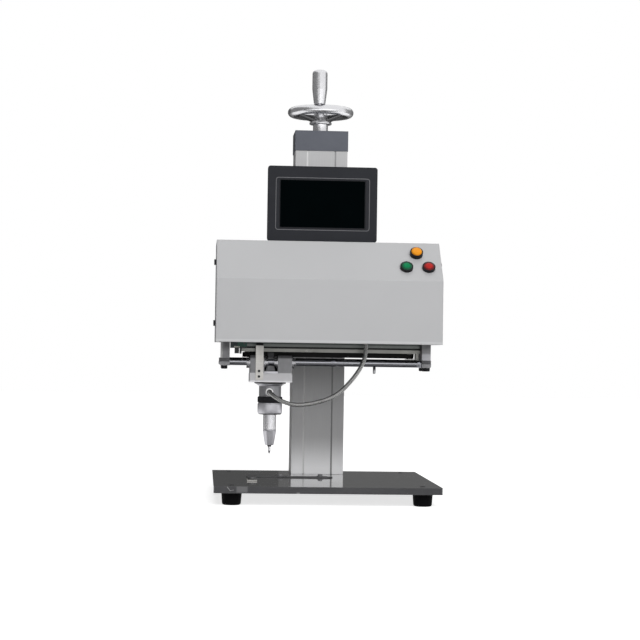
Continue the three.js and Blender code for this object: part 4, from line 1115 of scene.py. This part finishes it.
# The middle of each chip along x and z, its width and its height.
chips = (
    (-168.5, 289.5, 3.2, 2.4), (-163, 290.5, 4.4, 1.8), (-157.5, 288.6, 2.2, 4),
    (-150, 289.8, 5, 3), (-147.5, 282.5, 3, 5.2), (-169.5, 281.5, 2.4, 3.4),
)
for number, (x, z, wide, tall) in enumerate(chips, 1):
    chip = block(
        f"board_chip_{number}", (x - wide / 2, chip_face, z - tall / 2),
        (x + wide / 2, board_face, z + tall / 2), 0.2,
    )
    fasten(chip, "gantry", chip_grey)
first_pin_x, pin_pitch, pin_width, pin_low, pin_high = -165.6, 1.25, 0.6, 274.6, 277.4
pin_face, pin_root = -99.9, -98.8
for number in range(8):
    x = first_pin_x + number * pin_pitch
    pin = block(
        f"board_pin_{number + 1}", (x, pin_face, pin_low),
        (x + pin_width, pin_root, pin_high), 0.12,
    )
    fasten(pin, "gantry", solder)

# %% [markdown]
# ## Carriage details
#
# The block between the two ears is milled out, and a web ties the ears together
# behind the front rod; it is drawn black as painted shade between the ears. The
# flag that trips the sensor is a bent strap with two screws and a dark tip. The
# marking unit hangs on a flange with a gasket under it. The frame's solids carry
# the loads, and these pieces only bring back the steps and joints that a plain
# block hides.

# %% Carriage web and flag
carriage_x, carriage_y = middle_of("solenoid_housing")[:2]
web_left, web_right, tongue_left, tongue_right = -142.3, -55.7, -118, -80
web_top_left, web_top_right = -138, -60
web_low, web_side, web_corner, web_high = 227.9, 237.7, 246, 257
web_outline = [
    (web_left, web_side), (tongue_left, web_side), (tongue_left, web_low),
    (tongue_right, web_low), (tongue_right, web_side), (web_right, web_side),
    (web_right, web_corner), (web_top_right, web_high), (web_top_left, web_high),
    (web_left, web_corner),
]
# The web is black: painted shade between the ears.
web = plate("carriage_web", web_outline, front=-62, back=-58, bevel=0.4)
fasten(web, "carriage", black_plastic)
rib_outline = [(-108.5, 228), (-89.5, 228), (-92.3, 241), (-105.7, 241)]
rib = plate("carriage_rib", rib_outline, front=-72, back=-61)
fasten(rib, "carriage", housing_grey)
sill_low, sill_high = (-111.4, -99.6, 227.8), (-86.6, -92, 232.6)
sill = block("carriage_sill", sill_low, sill_high, 0.4)
fasten(sill, "carriage", ring_satin)
flag_x, flag_face = -120.8, -102.8
for level, z in (("upper", 232.8), ("lower", 223)):
    screw(
        f"flag_screw_{level}", (flag_x, flag_face, z), to_front,
        radius=2.3, height=1.1, body="carriage", material=black_steel,
    )
tip_low, tip_high = (-126.2, -102.6, 278.4), (-113.8, -100.6, 283.2)
tip = block("flag_tip", tip_low, tip_high, 0.4)
fasten(tip, "carriage", black_plastic)

# %% Flange of the marking unit
flange_z, flange_screw_z = 212.7, 210
flange = turned(
    "housing_gasket", [(28, 0), (28.6, 0.5), (28.6, 2.1), (28, 2.7), (20.5, 3)],
    (carriage_x, carriage_y, flange_z), to_floor, 64,
)
fasten(flange, "carriage", black_plastic)
cone = turned(
    "housing_cone", [(26.4, 2.8), (26, 3.4), (20.9, 6.9), (20.2, 7.4)],
    (carriage_x, carriage_y, flange_z), to_floor, 64,
)
fasten(cone, "carriage", ring_satin)
for number, (dx, dy) in enumerate(four_corners(22.5, 12), 1):
    screw(
        f"flange_screw_{number}", (carriage_x + dx, carriage_y + dy, flange_screw_z), to_floor,
        radius=2.2, height=2.2, body="carriage", material=turned_z,
    )

# %% [markdown]
# ## Knurls, facets and the nose
#
# A ring that fingers turn has a knurl: fine teeth rolled into the metal. They
# are modelled as small waves of the radius, since a bump alone leaves the
# outline smooth. The nose is a hexagon cone that a spanner can hold.


# %% Rings
def ribbed(count, depth, levels):
    """A shape for turned(): waves round the given levels."""
    def shape(level, angle):
        return 1 - depth * (0.5 - 0.5 * cos(count * angle)) if level in levels else 1
    return shape


lock_profile = [
    (21, 186.3), (22.2, 185.9), (22.6, 184.8), (22.6, 177), (22.2, 175.9), (21, 175.5),
]
lock = turned(
    "lock_ring_knurl", lock_profile, (carriage_x, carriage_y, 0), sides=240,
    shape=ribbed(60, 0.03, (2, 3)), sharp=60,
)
fasten(lock, "carriage", black_plastic)
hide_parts("lock_ring")
stroke_profile = [
    (12.3, 175.3), (20.8, 175.3), (21.3, 175), (22.3, 172.6), (22.4, 172), (22.4, 157.4),
    (22, 156.2), (20.9, 155.3), (12.3, 155.3),
]
stroke = turned("stroke_ring_face", stroke_profile, (carriage_x, carriage_y, 0), sides=96)
fasten(stroke, "stroke_ring", ring_satin)
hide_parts("stroke_ring")
# A thin black ring under the stroke ring stands for the shade in the gap above the tube: painted
# shade.
shade_ring_profile = [(12.2, 155.2), (20.4, 155.2), (20.6, 154.9), (20.4, 154), (12.2, 154)]
washer = turned("ring_shade_band", shade_ring_profile, (carriage_x, carriage_y, 0), sides=64)
fasten(washer, "carriage", black_plastic)

# %% Nose
flat_share, hexagon_mean = 0.65, 0.95
nose_profile = [
    (11, 126.3), (12.1, 125.6), (12.1, 124.2), (11.9, 123.6), (8.3, 101), (7.4, 98.3), (3, 98.1),
]


def nose_flats(level, angle):
    """A cone that is about two thirds of the way from round to a hexagon."""
    if level not in (3, 4):
        return 1
    return (1 - flat_share) + flat_share * hexagon(angle) / hexagon_mean


nose = turned(
    "nose_flats", nose_profile, (carriage_x, carriage_y, 0), sides=96, shape=nose_flats, sharp=12
)
fasten(nose, "carriage", ring_satin)
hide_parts("nose_cone")
print("faces of rings and nose:", [len(p.data.polygons) for p in (lock, stroke, nose)])

# %% Gland, shade sleeve and needle collar
gland_x, gland_z = hose_points[0][0], hose_points[0][2]
gland_start, root_sleeve_start = -88.4, -96.6
gland_profile = [
    (6.7, -0.2), (6.9, 0.5), (6.9, 6.6), (6.6, 7.6), (5.9, 8.4), (5, 8.8), (4.7, 7.8), (4.2, 5),
]
gland = turned(
    "gland_nut", gland_profile, (gland_x, gland_start, gland_z), to_front, 48,
    shape=ribbed(12, 0.03, (1, 2)),
)
fasten(gland, "carriage", gland_plate)
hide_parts("cable_gland")
# A black sleeve at the hose's root stands for the shade there: painted shade.
root_shade_sleeve = turned(
    "hose_root_shade", [(3.2, 0), (4.5, 0.2), (4.6, 1), (4.6, 7.4), (4.2, 8.2), (3.2, 8.4)],
    (gland_x, root_sleeve_start, gland_z), to_front, 32,
)
fasten(root_shade_sleeve, "carriage", black_steel)
collar_profile = [(3.6, 99), (3.6, 96.4), (3.1, 95.6), (2.6, 95.4)]
collar = turned("needle_collar", collar_profile, (carriage_x, carriage_y, 0), sides=32)
fasten(collar, "needle", black_steel)

# %% [markdown]
# ## Screen and buttons
#
# The screen is framed by a thin grey line inside the bezel, drawn here as a
# low band. The three buttons stand in black collars on the slope: a domed one
# above two low ones with a lighter lens. Such lenses are mostly tinted plastic
# over a lamp. Unlit, they look like solids of their colour, and so they are
# drawn as that.

# %% Screen frame
line_grey = finish("line_grey", (0.13, 0.13, 0.138, 1), 0.4, 0.0, grain_scale=1500, grain=0.05)
line = trim(
    "screen_line", rounded(-94.5, 77, 489.2, 585.1, corner=5), width=1.1, front=-76.5, back=-75.6
)
fasten(line, "head", line_grey)
gasket = trim(
    "screen_gasket", rounded(-87.6, 70, 492.6, 581.6, corner=1.5),
    width=1.6, front=-76.4, back=-75.4,
)
fasten(gasket, "head", black_plastic)

# %% Button lenses
facet_foot = Vector((0, -178, 396.5))
facet_rise = Vector((0, 0.6761, 0.7368))
facet_out = Vector((0, -0.7368, 0.6761))
lens_red = finish(
    "lens_red", (0.4, 0.017, 0.015, 1), 0.3, 0.0, tone=0.12, tone_scale=150, grain=0.08,
    Specular_IOR_Level=0.12,
)
lens_green = finish(
    "lens_green", (0.0008, 0.18, 0.064, 1), 0.3, 0.0, tone=0.12, tone_scale=150, grain=0.08,
    Specular_IOR_Level=0.12,
)
# Each button's x, its place up the slope, its height over it, and its lens's radius and dome.
buttons = (
    ("top", 156.3, 65.4, 9.8, 9.2, 2.2, "amber_lens", amber_lens),
    ("left", 136.5, 31.4, 7.0, 6.3, 1.1, "green_lens", lens_green),
    ("right", 176.1, 31.4, 7.0, 6.6, 1.1, "red_lens", lens_red),
)
lens_steps = 7
for name, x, rise, height, radius, dome, slot, material in buttons:
    profile = [(radius, -0.3)]
    for k in range(lens_steps):
        angle = pi / 2 * k / lens_steps
        profile.append((radius * cos(angle), dome * sin(angle)))
    profile.append((radius * 0.1, dome))
    place = facet_foot + Vector((x, 0, 0)) + facet_rise * rise + facet_out * height
    lens = turned(f"button_lens_{name}", profile, place, facet_out, 40)
    fasten(lens, f"button_{name}", material)
print("buttons:", [button[0] for button in buttons])

# %% [markdown]
# ## Back of the head, motor and inlet
#
# The back isn't in the picture, so it has what such a machine needs and no
# more: screws at the corners of the screen's case, the pins of the power inlet
# and the screws of the motor.

# %% Back details
case_back = -69.2
for side, x in (("left", -100), ("right", 81.6)):
    for level, z in (("upper", 597), ("lower", 478)):
        screw(
            f"screen_screw_{side}_{level}", (x, case_back, z), to_back,
            radius=3.2, height=1.6, body="head", material=black_steel, recess=cross,
        )
inlet_x, _, inlet_z = middle_of("power_inlet")
pin_front, pin_back = 75, 86
pin_half_width, pin_half_height = 1, 2
for number, (dx, dz) in enumerate(((-4.5, -2), (4.5, -2), (0, 3.5)), 1):
    x, z = inlet_x + dx, inlet_z + dz
    pin = block(
        f"inlet_pin_{number}", (x - pin_half_width, pin_front, z - pin_half_height),
        (x + pin_half_width, pin_back, z + pin_half_height), 0.4,
    )
    fasten(pin, "head", solder)
motor_top = edges_of("x_motor")[1][2]
for number, (dx, dy) in enumerate(four_corners(15.5, 15.5), 1):
    screw(
        f"motor_screw_{number}", (drive_x + dx, belt_y + dy, motor_top), to_top,
        radius=2.4, height=1.6, body="gantry", material=black_steel,
    )

# %% [markdown]
# ## Marks in the paint
#
# A lighter patch, a scratch, a painted shadow on a lip: such marks belong to one
# place of one part. A texture could be painted on, but a box in object space,
# blurred at its sides, marks a place as well and needs no unwrap. The part gets
# its own copy of the finish first, so that its neighbours stay clean.

# %% Marks
anywhere = (None, None)


def own_finish(node_name):
    """A copy of a solid's finish that only this solid wears."""
    mesh = nodes[node_name].data
    copy = mesh.materials[0].copy()
    copy.name = f"{node_name}_finish"
    wear(node_name, copy)
    return copy


def cover(material, mask, colour):
    """Covers a finish's base colour with another where the mask is 1."""
    tree = material.node_tree
    base = tree.nodes["Principled BSDF"].inputs["Base Color"]
    before = base.links[0].from_socket
    tree.links.new(blend_colour(tree, mask, before, colour), base)


def paint_box(material, colour, share, soft, x=anywhere, y=anywhere, z=anywhere, broken=0.0):
    """Paints a box in object space into the base colour, from limit to limit in mm."""
    tree = material.node_tree
    place = sprout(tree, "ShaderNodeTexCoord").outputs["Object"]
    split = sprout(tree, "ShaderNodeSeparateXYZ", {0: place})
    mask = share
    for axis, limits in enumerate((x, y, z)):
        for limit, sign in zip(limits, (1, -1)):
            if limit is None:
                continue
            edge = ramp(
                tree, split.outputs[axis], (limit - sign * soft) * mm, (limit + sign * soft) * mm
            )
            mask = sum_node(tree, "MULTIPLY", edge, mask)
    if broken:
        patchy = ramp(tree, noise(tree, 700, detail=4), 0.5 - 0.2 / broken, 0.62)
        mask = sum_node(tree, "MULTIPLY", mask, patchy)
    cover(material, mask, colour)


def paint_scratch(material, colour, start, end, width, share):
    """Paints a thin scratch between two points in mm into the base colour."""
    tree = material.node_tree
    run = (Vector(end) - Vector(start)) * mm
    place = sprout(tree, "ShaderNodeTexCoord").outputs["Object"]
    away = sprout(
        tree, "ShaderNodeVectorMath", {0: place, 1: Vector(start) * mm}, operation="SUBTRACT"
    ).outputs[0]
    along = sprout(
        tree, "ShaderNodeVectorMath", {0: away, 1: run / run.length_squared},
        operation="DOT_PRODUCT",
    ).outputs["Value"]
    foot = sprout(
        tree, "ShaderNodeVectorMath", {0: run, 3: ramp(tree, along, 0, 1)}, operation="SCALE"
    ).outputs[0]
    gap = sprout(
        tree, "ShaderNodeVectorMath", {0: away, 1: foot}, operation="DISTANCE"
    ).outputs["Value"]
    cover(material, ramp(tree, gap, width * mm, width * 0.4 * mm, 0, share), colour)


# %% Marks on the base
base_front = edges_of("base_plate")[0][1]
front_skin = base_front + 2
base_marks = own_finish("base_plate")
paint_box(
    base_marks, (0.2, 0.2, 0.205, 1), share=0.55, soft=1.6,
    x=(-160, -141), y=(None, front_skin), z=(23.5, None),
)
scuff = grey(0.5)
scratch_top, scratch_bend = (-176, base_front, 33), (-171, base_front, 26.6)
scratch_end = (-165, base_front, 27.8)
paint_scratch(base_marks, scuff, scratch_top, scratch_bend, width=0.8, share=0.45)
paint_scratch(base_marks, scuff, scratch_bend, scratch_end, width=0.7, share=0.35)
# The back lip of the base's top is painted near black: painted shade.
paint_box(base_marks, (0.008, 0.008, 0.009, 1), share=0.9, soft=0.6, y=(188.5, None), z=(33, None))
paint_box(
    base_marks, grey(0.35), share=0.7, soft=0.4,
    x=(-56, -50), y=(None, front_skin), z=(22, 24.2), broken=0.6,
)

# %% [markdown]
# ## Tones that stand in for light
#
# In the picture the foot of the column is lighter than the rest, perhaps because the
# glossy base throws light up at it, and the rod has darker edges, perhaps from what
# it mirrors. The lamps here don't give that, so the foot is painted lighter and the
# rod's two edges darker, and a few faces of the carriage, the beam, the brackets,
# the board and the head get their tone the same way. Paint stays on the part in
# every light, so it is a shortcut, not a measured finish.

# %% Tones of the column, the rod and the beam
column_foot = (0.78, 0.78, 0.79, 1)
for name in ("column_profile", "column_front_strip"):
    paint_box(own_finish(name), column_foot, share=0.9, soft=30, z=(None, 76))
# The rod's lower and upper bands are painted darker: painted dark reflection.
rod_dark_reflection = (0.14, 0.14, 0.17, 1)
rod_low_band, rod_high_band = 245.4, 252.6
rod_reflection_finish = own_finish("x_rod_front")
paint_box(rod_reflection_finish, rod_dark_reflection, share=0.75, soft=0.5, z=(None, rod_low_band))
paint_box(rod_reflection_finish, rod_dark_reflection, share=0.5, soft=0.5, z=(rod_high_band, None))
# The stop pin's lower end is painted lighter: painted light.
paint_box(own_finish("stop_pin"), (0.5, 0.5, 0.52, 1), share=0.9, soft=2, z=(None, 237))
# The beam is painted darker above its groove, darker still above its lip and near black in the
# groove: painted shade under the head.
groove_low, groove_high, beam_lip = 273.9, 277, 281.5
beam_shade_finish = own_finish("x_beam")
paint_box(beam_shade_finish, (0.13, 0.14, 0.135, 1), share=0.95, soft=0.5, z=(groove_high, None))
paint_box(beam_shade_finish, (0.06, 0.066, 0.064, 1), share=0.95, soft=0.8, z=(beam_lip, None))
paint_box(beam_shade_finish, (0.012, 0.013, 0.013, 1), share=1.0, soft=0.2, z=(groove_low, groove_high))

# %% Tones of the carriage, the board, the brackets and the head
# The carriage is painted lighter towards its bottom and near black at its top: painted light and
# painted shade.
carriage_light_and_shade = own_finish("carriage_block")
paint_box(carriage_light_and_shade, (0.52, 0.515, 0.53, 1), share=0.9, soft=0.6, z=(None, 229.4))
paint_box(carriage_light_and_shade, (0.72, 0.72, 0.74, 1), share=0.8, soft=0.6, z=(None, 215.6))
paint_box(carriage_light_and_shade, (0.02, 0.02, 0.022, 1), share=0.9, soft=1.5, z=(256, None))
# The board is painted near black below its edge and dark blue at its upper left: painted shade.
board_edge = 276
board_shade_finish = own_finish("sensor_board")
paint_box(board_shade_finish, (0.008, 0.009, 0.01, 1), share=0.95, soft=0.6, z=(None, board_edge))
paint_box(
    board_shade_finish, (0.006, 0.012, 0.02, 1), share=0.8, soft=0.8, x=(None, -160), z=(board_edge, None)
)
# The right bracket is painted lighter in a band at the rods and darker at its top: painted light
# and painted shade.
right_bracket_light_and_shade = own_finish("gantry_bracket_right")
paint_box(right_bracket_light_and_shade, (0.5, 0.5, 0.53, 1), share=0.75, soft=1.5, z=(255, 267.5))
paint_box(right_bracket_light_and_shade, (0.12, 0.12, 0.122, 1), share=0.7, soft=4, z=(275, None))
# The left bracket is painted lighter along its outer edge and darker at its top: painted light and
# painted shade.
left_bracket_light_and_shade = own_finish("gantry_bracket_left")
paint_box(left_bracket_light_and_shade, grey(0.5), share=0.7, soft=0.6, x=(None, -186.6), z=(255, 284))
paint_box(left_bracket_light_and_shade, (0.09, 0.09, 0.092, 1), share=0.9, soft=5, x=(-186, None), z=(272, None))
# The cover's lower front edge is painted lighter: painted light.
cover_hem_light = own_finish("head_cover")
paint_box(cover_hem_light, (0.5, 0.502, 0.51, 1), share=0.7, soft=0.5, y=(None, -150), z=(None, 289))
# The whole head frame is painted near black: painted shade under the cover.
paint_box(own_finish("head_frame"), (0.022, 0.027, 0.026, 1), share=0.9, soft=1)

# %% [markdown]
# ## Floor and backdrop
#
# The machine stands before plain white. If the white came from more light, pale
# sheet metal would burn out. So the floor and the world show white only to the
# camera and in reflections, and light the machine at a low level of their own.


# %% Floor and backdrop
def white_rays(tree):
    """1 for rays that come from the camera, a mirror or glass, and 0 for others."""
    path = sprout(tree, "ShaderNodeLightPath")
    shown = sum_node(
        tree, "MAXIMUM", path.outputs["Is Camera Ray"], path.outputs["Is Glossy Ray"]
    )
    return sum_node(tree, "MAXIMUM", shown, path.outputs["Is Transmission Ray"])


floor_side, floor_front, floor_back = 6, -5, 7
floor_corners = [
    (-floor_side, floor_front, 0), (floor_side, floor_front, 0),
    (floor_side, floor_back, 0), (-floor_side, floor_back, 0),
]
floor = new_piece("floor", floor_corners, [(0, 1, 2, 3)])
pale_floor = bpy.data.materials.new("pale_floor")
pale_floor.use_nodes = True
tree = pale_floor.node_tree
surface = tree.nodes["Principled BSDF"]
surface.inputs["Roughness"].default_value = 0.9
surface.inputs["Specular IOR Level"].default_value = 0.1
speckle = ramp(tree, noise(tree, 40), noise_low, noise_high, 0.76, 0.8)
tree.links.new(speckle, surface.inputs["Base Color"])
surface.inputs["Emission Color"].default_value = grey(1)
here = sprout(tree, "ShaderNodeTexCoord").outputs["Object"]
away = sprout(tree, "ShaderNodeVectorMath", {0: here}, operation="LENGTH").outputs["Value"]
near_glow, far_glow, glow_start, glow_end = 0.7, 1, 0.6, 2.2
glow = ramp(tree, away, glow_start, glow_end, near_glow, far_glow)
tree.links.new(
    sum_node(tree, "MULTIPLY", white_rays(tree), glow), surface.inputs["Emission Strength"]
)
floor.data.materials.append(pale_floor)

world = bpy.data.worlds.new("studio")
bpy.context.scene.world = world
world.use_nodes = True
tree = world.node_tree
ambient = 0.1
tree.nodes["Background"].inputs["Color"].default_value = grey(1)
tree.links.new(
    ramp(tree, white_rays(tree), 0, 1, ambient, 1), tree.nodes["Background"].inputs["Strength"]
)

# %% [markdown]
# ## Lamps
#
# The light in the picture is soft and comes from above and in front. A broad
# lamp far in front gives most of it. A strip at its upper edge adds light from
# higher up, which throws the head's shadow further down the column. A weak lamp
# at the left opens the shadows, and one overhead lights the tops. Spot lamps
# would draw hard shadows that the picture doesn't have. No lamp shows in the
# metal: that is left to the white backdrop and the cards.


# %% Lamps
def soft_lamp(name, place, width, height, power):
    """A large rectangular lamp that points at the machine and isn't seen itself."""
    data = bpy.data.lights.new(name, "AREA")
    data.shape = "RECTANGLE"
    data.size = width
    data.size_y = height
    data.energy = power
    lamp = bpy.data.objects.new(name, data)
    lamp.location = place
    lamp.rotation_euler = (machine_middle - Vector(place)).to_track_quat("-Z", "Y").to_euler()
    lamp.visible_camera = False
    lamp.visible_glossy = False
    bpy.context.scene.collection.objects.link(lamp)


machine_middle = Vector((0, 0, 0.35))
soft_lamp("key", (1.2, -5.5, 2.5), width=4.8, height=4.0, power=190)
soft_lamp("key_high", (1.2, -5.5, 4.25), width=4.8, height=0.6, power=150)
soft_lamp("fill", (-2.0, -2.2, 1.2), width=1.4, height=1.0, power=4)
soft_lamp("top", (0.2, -0.2, 2.6), width=2.4, height=2.0, power=21)

# %% [markdown]
# ## Dark cards
#
# In a room that is white all round, polished metal loses its shape. So a
# photographer holds dark cards beside it, whose mirror images draw its edges.
# Here three stand to the left, the front left and the right, and two behind,
# where the glossy base mirrors them and the column stands out. One lies low in
# front, for what round parts mirror from below. All are seen only in
# reflections.


# %% Dark cards
def card(name, corners, level):
    """A flat card that is seen only in reflections, with its grey level."""
    flag = new_piece(name, corners, [(0, 1, 2, 3)])
    dark = bpy.data.materials.new(name)
    dark.use_nodes = True
    shader = dark.node_tree.nodes["Principled BSDF"]
    shader.inputs["Base Color"].default_value = grey(0)
    shader.inputs["Specular IOR Level"].default_value = 0
    shader.inputs["Emission Color"].default_value = grey(1)
    shader.inputs["Emission Strength"].default_value = level
    flag.data.materials.append(dark)
    for rays in ("camera", "diffuse", "transmission", "shadow", "volume_scatter"):
        setattr(flag, f"visible_{rays}", False)


def upright(name, a, b, height, level):
    """A standing card between two places on the floor."""
    card(name, [(*a, 0), (*b, 0), (*b, height), (*a, height)], level)


upright("card_left", (-1.8, -2.6), (-1.4, 1.5), height=2.2, level=0.22)
upright("card_front_left", (-2.0, -3.4), (-0.45, -3.9), height=2.2, level=0.5)
upright("card_right", (1.4, 0.2), (1.4, 1.5), height=1.5, level=0.25)
upright("card_behind_left", (-1.4, 1.5), (-0.01, 1.5), height=1.4, level=0.08)
upright("card_behind_right", (-0.01, 1.5), (1.4, 1.5), height=1.4, level=0.125)
low_side, low_near, low_far, low_z = 3, -0.3, -0.85, 0.004
low_corners = [
    (-low_side, low_far, low_z), (low_side, low_far, low_z),
    (low_side, low_near, low_z), (-low_side, low_near, low_z),
]
card("card_low", low_corners, level=0.15)

# %% Settings and the end
bpy.context.scene.view_settings.view_transform = "Standard"
